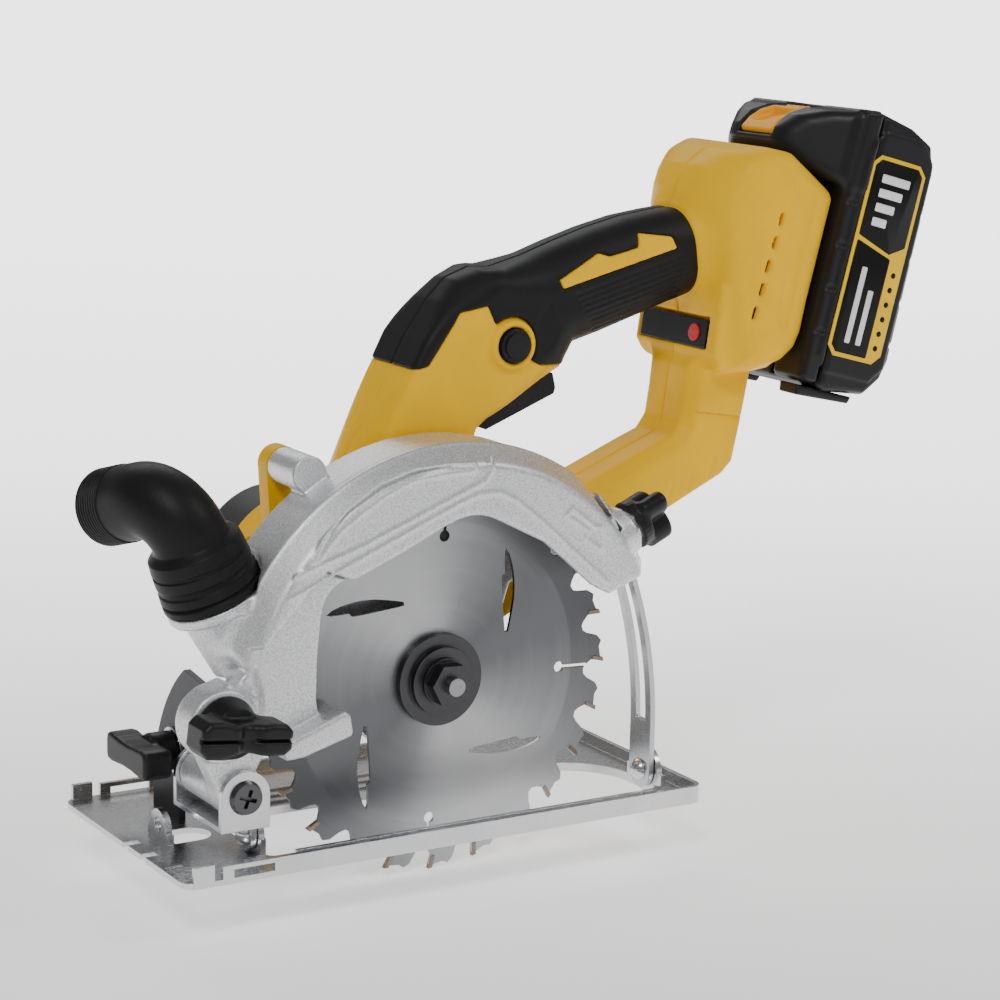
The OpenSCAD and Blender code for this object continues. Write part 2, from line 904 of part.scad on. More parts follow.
module rail_block(y0, y1) {
    // T-shaped rail the battery slides onto
    seat_box(150, 200, seat_v - 0.1, seat_v + 3.5, max(12, y0), min(48, y1));
    seat_box(150, 200, seat_v + 3.5, seat_v + 6.5, max(8, y0), min(52, y1));
}

panel_top = [137.2, 97.4];
panel_foot = [134.0, 87.4];
panel_back = [2.4, -0.77];

module panel_outline() {
    polygon([panel_top, panel_foot, panel_foot + panel_back, panel_top + panel_back]);
}

panel_lean = -72.3;
power_y = 17.5;

module power_bore(r, back, front) {
    translate([135.6, power_y, 92.4])
        rotate([0, panel_lean, 0])
            translate([0, 0, -back])
                cylinder(h = back + front, r = r);
}

// One half of the handle, from the split plane out to the side y_side
module handle_half(near) {
    grip_y0 = near ? handle_near : handle_mid;
    grip_y1 = near ? handle_mid : handle_far;
    cav_y0 = near ? handle_near + wall : handle_mid - 1;
    cav_y1 = near ? handle_mid + 1 : handle_far - wall;
    house_y0 = near ? house_near : handle_mid;
    house_y1 = near ? handle_mid : house_far;
    core_y0 = near ? handle_near + wall : handle_mid;
    core_y1 = near ? handle_mid : handle_far - wall;
    difference() {
        union() {
            difference() {
                union() {
                    slab(grip_y0, grip_y1)
                        union() {
                            neck_outline();
                            arm_outline();
                        }
                    slab(core_y0, core_y1)
                        core_outline();
                    slab(house_y0, house_y1)
                        house_outline();
                    rail_block(grip_y0, grip_y1);
                    rail_block(near ? 8 : 30, near ? 30 : 52);
                }
                slab(core_y0 - 0.01 + (near ? wall : 0), core_y1 + 0.01 - (near ? 0 : wall))
                    neck_cavity();
                slab(cav_y0, cav_y1)
                    arm_cavity();
                slab(near ? house_near + house_wall : 29, near ? 31 : house_far - house_wall)
                    house_cavity();
            }
            for (c = handle_bosses)
                bar_y(c, boss_r, near ? handle_near + 1 : handle_mid, near ? handle_mid : handle_far - 1);
            if (near)
                // Ring round the lock-off button
                bar_y(button_c, 9, 11.5, handle_near + 5);
        }
        // Clear of gear case, motor and the flange beside them
        slab(handle_near - 5, handle_far + 5)
            case_outline(case_r + 0.2, motor_r + 1.2);
        slab(handle_near - 5, 29.2)
            link(motor_c, motor_r + 0.2, housing_ear, 6.7);
        // Opening for the trigger
        slab(23.6, 36.4)
            polygon([[40.5, 80], [77.5, 80], [77.5, 95.5], [72, 98.5], [66, 101], [40.5, 94]]);
        bar_y(button_c, 6.3, 10, 24);
        slab(10, 52)
            panel_outline();
        power_bore(2, 6, 0);
        for (c = handle_bosses) {
            bar_y(c, 1.5, near ? 18 : handle_mid - 1, near ? 31 : 44);
            if (!near)
                bar_y(c, 3.3, handle_far - 4, handle_far + 20);
        }
        // Air slots in the housing's side, in one slanting line
        for (i = [0 : 4])
            translate([163 - i * 3.5, near ? house_near - 1 : house_far - house_wall - 1, 133 - i * 8.6])
                rotate([0, -66, 0])
                    translate([-2.6, 0, -1])
                        cube([5.2, house_wall + 2, 2]);
        // Slots for the battery's contacts
        for (y = [20, 30, 40])
            seat_box(178, 196, seat_v - 4, seat_v + 7, y - 0.5, y + 0.5);
        // Shadow grooves along the arm
        for (i = [0 : 2])
            slab(near ? handle_near - 1 : handle_far - 0.6, near ? handle_near + 0.6 : handle_far + 1)
                polygon([[112 + i * 10, 31 + i * 2.7], [113 + i * 10, 31.2 + i * 2.7],
                         [117 + i * 10, 39 + i * 2.7], [116 + i * 10, 39 + i * 2.7]]);
    }
}

module handle_shell_left() {
    color([0.98, 0.78, 0.05])
        in_body()
            handle_half(true);
}

module handle_shell_right() {
    color([0.98, 0.78, 0.05])
        in_body()
            handle_half(false);
}

module handle_screws() {
    color([0.25, 0.25, 0.26])
        in_body()
            for (c = handle_bosses) {
                bar_y(c, 1.5, 19, handle_far - 4);
                bar_y(c, 3, handle_far - 4, handle_far - 1.8);
            }
}

inlay_band = [[78.8, 121.5], [77.9, 125], [96.3, 131], [100.4, 129], [112.7, 129.7],
              [114.7, 134.5], [127.9, 130.7], [129.1, 125.9]];

module grip_half(near) {
    y0 = near ? handle_near : handle_mid;
    y1 = near ? handle_mid : handle_far;
    difference() {
        slab(y0, y1)
            grip_outline();
        slab(near ? handle_near + wall : handle_mid - 1, near ? handle_mid + 1 : handle_far - wall)
            union() {
                core_outline();
                neck_outline();
            }
        slab(handle_near - 5, handle_far + 5)
            neck_outline();
        bar_y(button_c, 9.1, 0, near ? 28 : 3);
        // Room for the screw boss and, on the far side, the screw
        bar_y(grip_boss, boss_r, near ? handle_near + 1 : handle_mid - 1, near ? 31 : handle_far - 1);
        if (!near)
            bar_y(grip_boss, 3.3, handle_far - 4, handle_far + 1);
        slab(near ? handle_near - 1 : handle_far - 0.8, near ? handle_near + 0.8 : handle_far + 1)
            polygon(inlay_band);
        // Ribs for the fingers
        for (i = [0 : 13])
            slab(near ? handle_near - 1 : handle_far - 0.6, near ? handle_near + 0.6 : handle_far + 1)
                polygon([[88 + i * 3.5, 104 + i * 0.4], [89.4 + i * 3.5, 104 + i * 0.4],
                         [93.4 + i * 3.5, 117 + i * 0.5], [92 + i * 3.5, 117 + i * 0.5]]);
    }
}

module grip_left() {
    color([0.1, 0.1, 0.11])
        in_body()
            grip_half(true);
}

module grip_right() {
    color([0.1, 0.1, 0.11])
        in_body()
            grip_half(false);
}

module grip_inlay_left() {
    color([0.98, 0.78, 0.05])
        in_body()
            slab(handle_near + 0.1, handle_near + 0.8)
                polygon(inlay_band);
}

module grip_inlay_right() {
    color([0.98, 0.78, 0.05])
        in_body()
            slab(handle_far - 0.8, handle_far - 0.1)
                polygon(inlay_band);
}

module display_panel() {
    color([0.08, 0.08, 0.09])
        in_body()
            difference() {
                slab(10, 52)
                    panel_outline();
                power_bore(3.3, 1.7, 3);
                power_bore(2.05, 6, 0);
            }
}

module power_button() {
    color([0.8, 0.1, 0.08])
        in_body() {
            power_bore(3.25, 0.6, 0.5);
            power_bore(1.95, 5, 0);
        }
}

module control_board() {
    color([0.05, 0.35, 0.15])
        in_body() {
            seat_box(150, 200, 108, 109.6, 2, 58);
            seat_box(156, 172, 103, 108, 8, 24);
            seat_box(180, 190, 104, 108, 34, 44);
        }
}

module switch_module() {
    color([0.15, 0.15, 0.17])
        in_body()
            slab(20, 40)
                polygon([[44, 107], [47, 113], [76, 119], [80, 112.5], [72, 108], [64, 108]]);
}

module battery_terminals() {
    color([0.75, 0.6, 0.3])
        in_body()
            for (y = [20, 30, 40])
                seat_box(178, 196, seat_v - 4, seat_v + 8, y - 0.5, y + 0.5);
}

// ---------------------------------------------------------------- blade and spindle

blade_y = blade_t / 2;
spindle_r = 6;
tip_turn = 3.7;

// One gullet and tooth back, turned into place round the rim
module blade_outline() {
    step = 360 / tooth_count;
    k = blade_r / 70;
    polygon([for (i = [0 : tooth_count - 1], p = [
            [69.1, 0.2], [64.9, 0.9], [62.6, -0.6], [61.6, -1.8], [61.8, -3.6], [63.6, -5],
            [67.6, -6.6], [69.2, -8.4], [68.2, -10.2]])
        polar(p[0] * k, tip_turn - i * step + p[1])]);
}

module relief_slot(a) {
    rotate(a) {
        translate([51, 0])
            circle(2);
        translate([51, -0.6])
            square([12, 1.2]);
    }
}

module crescent(a) {
    rotate(a)
        polygon([[34.4, 39], [35.5, 36.5], [36.1, 32.5], [36.2, 28.5], [35.9, 24.6], [35, 20],
                 [33.6, 15.8], [32.2, 12], [30.9, 8.8], [29.6, 8.8], [29.7, 12], [30, 16],
                 [30.4, 21.4], [30.8, 26], [31.2, 29.3], [32.7, 30.4], [33, 33.5], [33.7, 37.5]]);
}

module blade() {
    color([0.7, 0.71, 0.73])
        in_body()
            slab(-blade_y, blade_y)
                difference() {
                    blade_outline();
                    circle(10);
                    for (i = [0 : 3]) {
                        relief_slot(-11.9 + 90 * i);
                        crescent(90 * i);
                    }
                    tip_outlines();
                }
}

module tip_outlines() {
    k = blade_r / 70;
    step = 360 / tooth_count;
    for (i = [0 : tooth_count - 1])
        polygon([polar(70 * k, tip_turn - i * step),
                 polar(65.4 * k, tip_turn - i * step + 0.95),
                 polar(65.3 * k, tip_turn - i * step + 2.15),
                 polar(69.8 * k, tip_turn - i * step + 1.3)]);
}

module blade_tips() {
    color([0.42, 0.33, 0.28])
        in_body()
            slab(-kerf / 2, kerf / 2)
                tip_outlines();
}

module inner_flange() {
    color([0.25, 0.25, 0.26])
        in_body()
            difference() {
                union() {
                    bar_y([0, 0], 16, blade_y, 6.5);
                    bar_y([0, 0], 9.95, -0.4, blade_y);
                }
                bar_y([0, 0], spindle_r, -2, 8);
            }
}

module outer_flange() {
    color([0.25, 0.25, 0.26])
        in_body()
            difference() {
                union() {
                    bar_y([0, 0], 16.5, -3.6, -blade_y);
                    bar_y([0, 0], 12.2, -5.8, -3.6);
                }
                bar_y([0, 0], 3.3, -8, 0);
                bar_y([0, 0], 10, -1.4, 0);
            }
}

module spindle() {
    color([0.5, 0.5, 0.52])
        in_body() {
            bar_y([0, 0], 3.25, -15, -0.4);
            bar_y([0, 0], spindle_r, -0.4, 28);
            bar_y([0, 0], 4, 28, 32.4);
        }
}

module spindle_nut() {
    color([0.3, 0.3, 0.32])
        in_body()
            difference() {
                union() {
                    bar_y([0, 0], 8.6, -7, -5.8);
                    translate([0, -7, 0])
                        rotate([90, 12, 0])
                            cylinder(h = 5, r = 8, $fn = 6);
                }
                bar_y([0, 0], 3.25, -13, -5);
            }
}

module output_gear() {
    color([0.55, 0.52, 0.48])
        in_body()
            difference() {
                slab(gear_y, gear_y + gear_w)
                    gear_outline(gear_teeth, 0.12);
                bar_y([0, 0], spindle_r, gear_y - 1, gear_y + gear_w + 1);
                for (a = [0 : 60 : 300])
                    bar_y(polar(15.5, a), 4, gear_y - 1, gear_y + gear_w + 1);
            }
}

module rotor_shaft() {
    step_g = 360 / gear_teeth;
    step_p = 360 / pinion_teeth;
    // Phase of the large gear's teeth at the line of centres, carried over to the pinion
    phase = (motor_angle / step_g - floor(motor_angle / step_g)) * step_p;
    color([0.5, 0.5, 0.52])
        in_body() {
            translate([motor_c[0], 0, motor_c[1]])
                rotate([0, -(motor_angle + 180 + step_p / 2 + phase), 0])
                    slab(gear_y - 0.3, gear_y + gear_w + 0.8)
                        gear_outline(pinion_teeth, 0.12);
            bar_y(motor_c, 3.4, gear_y, case_far + 6);
            bar_y(motor_c, 4, case_far + 5, 84);
            bar_y(motor_c, 3, 84, 88.6);
        }
}

module rotor_core() {
    color([0.35, 0.35, 0.37])
        in_body()
            difference() {
                bar_y(motor_c, 13.4, 45.5, 66.5);
                bar_y(motor_c, 4, 45, 67);
            }
}

module cooling_fan() {
    color([0.12, 0.12, 0.13])
        in_body()
            difference() {
                union() {
                    bar_y(motor_c, 22, 73, 74.6);
                    bar_y(motor_c, 7, 73, 82);
                    for (a = [0 : 36 : 324])
                        translate([motor_c[0], 74, motor_c[1]])
                            rotate([0, a, 0])
                                translate([6, 0, -0.7])
                                    cube([15.6, 7, 1.4]);
                }
                bar_y(motor_c, 4, 72, 83);
            }
}

// ---------------------------------------------------------------- controls

module trigger() {
    color([0.1, 0.1, 0.11])
        in_body()
            slab(24, 36)
                union() {
                    polygon([[42.2, 84], [43, 77.5], [46, 75.6], [50, 76.4], [76, 82], [77, 84],
                             [76.6, 89.5], [72, 92.6], [44, 86.6]]);
                    translate([54, 86])
                        square([8, 14]);
                }
}

module lock_off_button() {
    color([0.1, 0.1, 0.11])
        in_body() {
            bar_y(button_c, 6, 10.2, 16.6);
            bar_y(button_c, 4.6, 9.4, 10.2);
        }
}

// Wing of a knob: a bar with round ends, drawn about the origin
module wing(len, wide) {
    r = wide / 2;
    for (s = [-1, 1])
        translate([s * (len / 2 - r), 0])
            circle(r);
    translate([-len / 2 + r, -r])
        square([len - 2 * r, wide]);
}

module depth_knob() {
    color([0.08, 0.08, 0.09])
        in_body()
            at_stud()
                difference() {
                    translate([0, 0, knob_seat + 1.9]) {
                        cylinder(h = 5, r = 9.4);
                        translate([0, 0, 5])
                            linear_extrude(11.5)
                                union() {
                                    circle(6.5);
                                    for (a = [90, 210, 330])
                                        rotate(a)
                                            translate([7, 0])
                                                circle(4.4);
                                }
                    }
                    translate([0, 0, strap_r])
                        cylinder(h = 40, r = stud_r + run_gap);
                }
}

module depth_washer() {
    color([0.7, 0.7, 0.72])
        in_body()
            at_stud()
                translate([0, 0, knob_seat + 0.1])
                    difference() {
                        cylinder(h = 1.6, r = 7.4);
                        translate([0, 0, -1])
                            cylinder(h = 4, r = stud_r + run_gap);
                    }
}

module bevel_knob() {
    color([0.08, 0.08, 0.09])
        difference() {
            union() {
                bar_x(clamp_y, clamp_z, 7, -95, -87.6);
                plate_x(-105, -95)
                    translate([clamp_y - 1.5, clamp_z])
                        wing(32, 10.5);
            }
            bar_x(clamp_y, clamp_z, 3 + run_gap, -97, -80);
        }
}

module bevel_washer() {
    color([0.7, 0.7, 0.72])
        difference() {
            bar_x(clamp_y, clamp_z, 8, -87.5, -86.1);
            bar_x(clamp_y, clamp_z, 3 + run_gap, -90, -80);
        }
}

module front_knob() {
    color([0.08, 0.08, 0.09])
        in_body()
            difference() {
                union() {
                    bar_y(pad_c, 11, -32, -26.2);
                    slab(-44, -32)
                        translate(pad_c)
                            rotate(10)
                                wing(33, 12);
                }
                bar_y(pad_c, 3 + run_gap, -37, -20);
            }
}

elbow_turn = 107;
elbow_bend = 100;
bend_r = 14.5;
collar_h = 21;
outlet_len = 20.5;

module elbow_path(r, r_collar, r_out, extra) {
    cylinder(h = collar_h, r = r_collar);
    translate([0, 0, collar_h])
        rotate([0, 0, elbow_turn])
            translate([bend_r, 0, 0])
                rotate([90, 0, 180])
                    rotate_extrude(angle = elbow_bend)
                        translate([bend_r, 0])
                            circle(r);
    translate([0, 0, collar_h])
        rotate([0, 0, elbow_turn])
            translate([bend_r, 0, 0])
                rotate([0, elbow_bend, 0])
                    translate([-bend_r, 0, 0])
                        cylinder(h = outlet_len + extra, r = r_out);
}

module dust_elbow() {
    color([0.07, 0.07, 0.08])
        in_body()
            translate(spigot_p)
                rotate([0, spigot_lean, 0])
                    translate([0, 0, 0.3])
                        difference() {
                            union() {
                                elbow_path(13.2, 17, 13.6, 0);
                                for (z = [3, 8, 13])
                                    translate([0, 0, z])
                                        cylinder(h = 2.4, r = 18);
                            }
                            translate([0, 0, -1])
                                cylinder(h = 9.2, r = spigot_r + 0.06);
                            difference() {
                                elbow_path(10.6, 10.2, 11, 1);
                                translate([0, 0, -5])
                                    cylinder(h = 5, r = 12);
                            }
                        }
}

// ---------------------------------------------------------------- battery

pack_near = handle_mid - pack_w / 2;
pack_far = handle_mid + pack_w / 2;
plate_v = seat_v + pack_gap;
tub_v = 129.4;

module battery_case() {
    color([0.09, 0.09, 0.1])
        in_body()
            difference() {
                slab(pack_near, pack_far)
                    polygon([seat(131, tub_v), seat(129, 134), seat(132, 154), seat(139, 159),
                             seat(146, 161), seat(218, 160), seat(229, 156.5), seat(233, 146),
                             seat(235, tub_v)]);
                slab(pack_near + 3, pack_far - 3)
                    polygon([seat(134.5, tub_v - 1), seat(134.5, 154), seat(141, 157.5),
                             seat(226, 157.5), seat(230, 146), seat(231, tub_v - 1)]);
                // Grooves down the back
                for (i = [0 : 6])
                    seat_box(150, 222, 160, 163, pack_near + 9 + i * 9, pack_near + 11.4 + i * 9);
            }
}

module battery_cover() {
    color([0.09, 0.09, 0.1])
        in_body()
            difference() {
                slab(pack_near, pack_far)
                    polygon([seat(131, plate_v + 2), seat(133, plate_v), seat(213.6, plate_v),
                             seat(213.6, 108), seat(221, 105), seat(234, 110), seat(235.4, 122),
                             seat(235, tub_v), seat(131, tub_v)]);
                // Channel for the tool's rail, open at the foot
                seat_box(120, 200.4, seat_v - 2, seat_v + 3.2, 11.7, 48.3);
                seat_box(120, 200.4, seat_v + 3.2, seat_v + 6.8, 7.7, 52.3);
                for (y = [20, 30, 40])
                    seat_box(120, 196.6, seat_v + 6, seat_v + 12, y - 1, y + 1);
                // Pocket for the latch
                seat_box(217.6, 240, 100, 128.2, 19.6, 40.4);
                // The tower's side corners are cut away in front
                for (y = [pack_near - 1, 51])
                    seat_box(200, 240, 100, 114, y, y + 17.6);
            }
}

module battery_bumper() {
    color([0.13, 0.13, 0.14])
        in_body()
            for (y = [pack_near + 4, pack_far - 16])
                seat_box(125.8, 129.2, 136, 150, y, y + 12);
}

module battery_label() {
    color([0.95, 0.8, 0.1])
        in_body()
            slab(pack_near - 0.4, pack_near)
                polygon([seat(144, 131), seat(146, 130), seat(205, 130), seat(208, 132), seat(217, 132),
                         seat(219, 134), seat(219, 150), seat(216, 152.6), seat(147, 152.6),
                         seat(144, 150)]);
}

module battery_cells() {
    color([0.2, 0.45, 0.75])
        in_body()
            for (i = [0 : 4])
                bar_y(seat(145 + i * 18.6, 146), 9.1, handle_mid - 32.5, handle_mid + 32.5);
}

module battery_latch() {
    color([0.98, 0.6, 0.05])
        in_body()
            slab(20, 40)
                polygon([seat(218, 109), seat(223, 106.5), seat(231, 109.5), seat(233.6, 113),
                         seat(234.4, 123.6), seat(218, 123.6)]);
}

// ---------------------------------------------------------------- what is drawn

shoe_plate();
bevel_quadrant();
front_bevel_rivet();
rear_bevel_rivet();
pivot_bracket();
depth_strap();
depth_pivot_screw();
bevel_clamp_bolt();
blade_guard();
dust_spigot();
gear_case();
motor_housing();
motor_cap();
motor_stator();
motor_windings();
housing_screw();
spindle_front_bearing();
spindle_rear_bearing();
rotor_front_bearing();
rotor_rear_bearing();
depth_clamp_stud();
front_clamp_stud();
handle_shell_left();
handle_shell_right();
handle_screws();
grip_left();
grip_right();
grip_inlay_left();
grip_inlay_right();
display_panel();
power_button();
control_board();
switch_module();
battery_terminals();
blade();
blade_tips();
inner_flange();
outer_flange();
spindle();
spindle_nut();
output_gear();
rotor_shaft();
rotor_core();
cooling_fan();
trigger();
lock_off_button();
depth_knob();
depth_washer();
bevel_knob();
bevel_washer();
front_knob();
dust_elbow();
battery_case();
battery_cover();
battery_bumper();
battery_label();
battery_cells();
battery_latch();
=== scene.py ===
import json
import math

import bmesh
import bpy
import numpy as np
from mathutils import Matrix, Vector


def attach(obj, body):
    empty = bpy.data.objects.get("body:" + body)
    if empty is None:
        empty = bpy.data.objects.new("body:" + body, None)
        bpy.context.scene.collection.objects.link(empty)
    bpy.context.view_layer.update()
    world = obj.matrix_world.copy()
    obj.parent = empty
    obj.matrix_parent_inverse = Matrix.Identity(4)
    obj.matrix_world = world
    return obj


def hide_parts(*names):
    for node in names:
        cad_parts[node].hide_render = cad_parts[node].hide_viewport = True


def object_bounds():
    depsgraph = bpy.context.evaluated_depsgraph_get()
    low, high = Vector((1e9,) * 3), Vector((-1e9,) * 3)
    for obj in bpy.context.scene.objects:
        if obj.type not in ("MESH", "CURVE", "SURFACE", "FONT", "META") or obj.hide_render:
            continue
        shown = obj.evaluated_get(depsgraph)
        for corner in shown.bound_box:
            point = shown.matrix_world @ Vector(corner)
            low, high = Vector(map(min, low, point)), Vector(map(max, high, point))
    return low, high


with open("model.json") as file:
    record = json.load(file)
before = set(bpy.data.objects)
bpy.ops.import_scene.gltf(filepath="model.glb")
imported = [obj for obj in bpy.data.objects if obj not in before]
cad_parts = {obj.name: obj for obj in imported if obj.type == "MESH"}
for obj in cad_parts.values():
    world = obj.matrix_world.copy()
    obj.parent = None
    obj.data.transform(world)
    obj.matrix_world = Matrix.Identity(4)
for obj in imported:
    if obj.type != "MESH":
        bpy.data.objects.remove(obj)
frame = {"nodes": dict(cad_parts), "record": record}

CAD_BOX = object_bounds()
MM = 0.001

# ---------------------------------------------------------------- the saw body's own frame
# The saw body is drawn level about the blade's centre, in millimetres, and turned up about
# the depth pivot, as it stands at rest.
PIVOT = Vector((-85.0, 0.0, 24.4))
ARM = Vector((88.0, 0.0, 11.0))
TILT = math.radians(9.5)
BODY = (
    Matrix.Scale(MM, 4)
    @ Matrix.Translation(PIVOT)
    @ Matrix.Rotation(-TILT, 4, "Y")
    @ Matrix.Translation(ARM)
)
LEVEL = Matrix.Scale(MM, 4)
SEAT = math.radians(66)


def seat(u, v):
    """X and Z in the body of a point u up along the battery's seat and v out of it."""
    return (
        u * math.cos(SEAT) + v * math.sin(SEAT),
        u * math.sin(SEAT) - v * math.cos(SEAT),
    )


def lean(origin, angle):
    """Frame at origin whose Z leans from upright towards +X by angle degrees."""
    return Matrix.Translation(Vector(origin)) @ Matrix.Rotation(math.radians(angle), 4, "Y")


# ---------------------------------------------------------------- materials


def new_material(name):
    mat = bpy.data.materials.new(name)
    mat.use_nodes = True
    nodes, links = mat.node_tree.nodes, mat.node_tree.links
    nodes.clear()
    out = nodes.new("ShaderNodeOutputMaterial")
    bsdf = nodes.new("ShaderNodeBsdfPrincipled")
    links.new(bsdf.outputs[0], out.inputs[0])
    return mat, nodes, links, bsdf


def coords(nodes, links, scale=(1, 1, 1)):
    """Object coordinates in metres, stretched by scale."""
    tex = nodes.new("ShaderNodeTexCoord")
    mapping = nodes.new("ShaderNodeMapping")
    mapping.inputs["Scale"].default_value = scale
    links.new(tex.outputs["Object"], mapping.inputs["Vector"])
    return mapping.outputs[0]


def noise(nodes, links, vector, scale, detail=3.0, rough=0.55):
    tex = nodes.new("ShaderNodeTexNoise")
    tex.inputs["Scale"].default_value = scale
    tex.inputs["Detail"].default_value = detail
    tex.inputs["Roughness"].default_value = rough
    links.new(vector, tex.inputs["Vector"])
    return tex.outputs["Fac"]


def ramp(nodes, links, fac, stops):
    """Colour ramp from [(position, (r, g, b)), ...]."""
    node = nodes.new("ShaderNodeValToRGB")
    cr = node.color_ramp
    while len(cr.elements) < len(stops):
        cr.elements.new(0.5)
    for element, (position, colour) in zip(cr.elements, stops):
        element.position = position
        element.color = (*colour, 1)
    links.new(fac, node.inputs[0])
    return node.outputs[0]


def spread(nodes, links, fac, low, high, start=0.0, end=1.0):
    """fac from start..end mapped onto low..high."""
    node = nodes.new("ShaderNodeMapRange")
    for socket, value in (("From Min", start), ("From Max", end), ("To Min", low), ("To Max", high)):
        node.inputs[socket].default_value = value
    links.new(fac, node.inputs["Value"])
    return node.outputs[0]


def maths(nodes, links, operation, *values):
    """Result of a math node whose inputs are sockets or numbers."""
    node = nodes.new("ShaderNodeMath")
    node.operation = operation
    for socket, value in zip(node.inputs, values):
        if isinstance(value, bpy.types.NodeSocket):
            links.new(value, socket)
        else:
            socket.default_value = value
    return node.outputs[0]


def combined(nodes, links, **parts):
    """Vector with the sockets of parts as its X, Y or Z."""
    node = nodes.new("ShaderNodeCombineXYZ")
    for axis, value in parts.items():
        links.new(value, node.inputs[axis])
    return node.outputs[0]


def vector_maths(nodes, links, operation, vector):
    node = nodes.new("ShaderNodeVectorMath")
    node.operation = operation
    links.new(vector, node.inputs[0])
    return node


def bump(nodes, links, height, strength, distance, normal=None):
    node = nodes.new("ShaderNodeBump")
    node.inputs["Strength"].default_value = strength
    node.inputs["Distance"].default_value = distance
    links.new(height, node.inputs["Height"])
    if normal is not None:
        links.new(normal, node.inputs["Normal"])
    return node.outputs[0]


def soft_edges(nodes, radius):
    """Normal that rounds the sharp edges of machined or moulded shapes."""
    node = nodes.new("ShaderNodeBevel")
    node.samples = 6
    node.inputs["Radius"].default_value = radius
    return node.outputs[0]


def plastic(name, colour, rough=0.42, grain=1800.0, depth=0.00004, worn=1.18, edge=0.0004,
            shine=0.3):
    """Moulded plastic: fine spark-eroded grain, faint mottling in colour and gloss."""
    mat, nodes, links, bsdf = new_material(name)
    at = coords(nodes, links)
    broad = noise(nodes, links, at, 60.0)
    fine = noise(nodes, links, at, grain, 2.0)
    dark = tuple(c * 0.93 for c in colour)
    light = tuple(min(1.0, c * worn) for c in colour)
    links.new(ramp(nodes, links, broad, [(0.3, dark), (0.7, light)]), bsdf.inputs["Base Color"])
    links.new(spread(nodes, links, fine, rough - 0.06, rough + 0.08), bsdf.inputs["Roughness"])
    bsdf.inputs["Specular IOR Level"].default_value = shine
    links.new(bump(nodes, links, fine, 0.35, depth, soft_edges(nodes, edge)), bsdf.inputs["Normal"])
    return mat


def metal(name, colour, rough, grain=400.0, stretch=(1, 1, 1), depth=0.00001, edge=0.0003, spot=0.06):
    """Bare or plated metal: directional grain set by stretch, with uneven gloss."""
    mat, nodes, links, bsdf = new_material(name)
    bsdf.inputs["Metallic"].default_value = 1.0
    at = coords(nodes, links)
    lines = noise(nodes, links, coords(nodes, links, stretch), grain, 3.0)
    broad = noise(nodes, links, at, 35.0)
    dark = tuple(c * 0.86 for c in colour)
    links.new(ramp(nodes, links, broad, [(0.25, dark), (0.75, colour)]), bsdf.inputs["Base Color"])
    links.new(spread(nodes, links, lines, rough - spot, rough + spot), bsdf.inputs["Roughness"])
    links.new(bump(nodes, links, lines, 0.3, depth, soft_edges(nodes, edge)), bsdf.inputs["Normal"])
    return mat


def sparkle_cast(name, colour):
    """Painted casting: coarse skin with bright metal flakes."""
    mat, nodes, links, bsdf = new_material(name)
    at = coords(nodes, links)
    flakes = nodes.new("ShaderNodeTexVoronoi")
    flakes.inputs["Scale"].default_value = 1900.0
    links.new(at, flakes.inputs["Vector"])
    skin = noise(nodes, links, at, 1500.0, 3.0, 0.6)
    broad = noise(nodes, links, at, 45.0)
    bsdf.inputs["Metallic"].default_value = 0.85
    dark = tuple(c * 0.72 for c in colour)
    light = tuple(min(1.0, c * 1.15) for c in colour)
    links.new(ramp(nodes, links, skin, [(0.34, dark), (0.66, light)]), bsdf.inputs["Base Color"])
    links.new(spread(nodes, links, broad, 0.4, 0.52), bsdf.inputs["Roughness"])
    rough = bump(nodes, links, skin, 0.5, 0.00009, soft_edges(nodes, 0.0006))
    links.new(
        bump(nodes, links, flakes.outputs["Distance"], 0.3, 0.00007, rough), bsdf.inputs["Normal"]
    )
    return mat


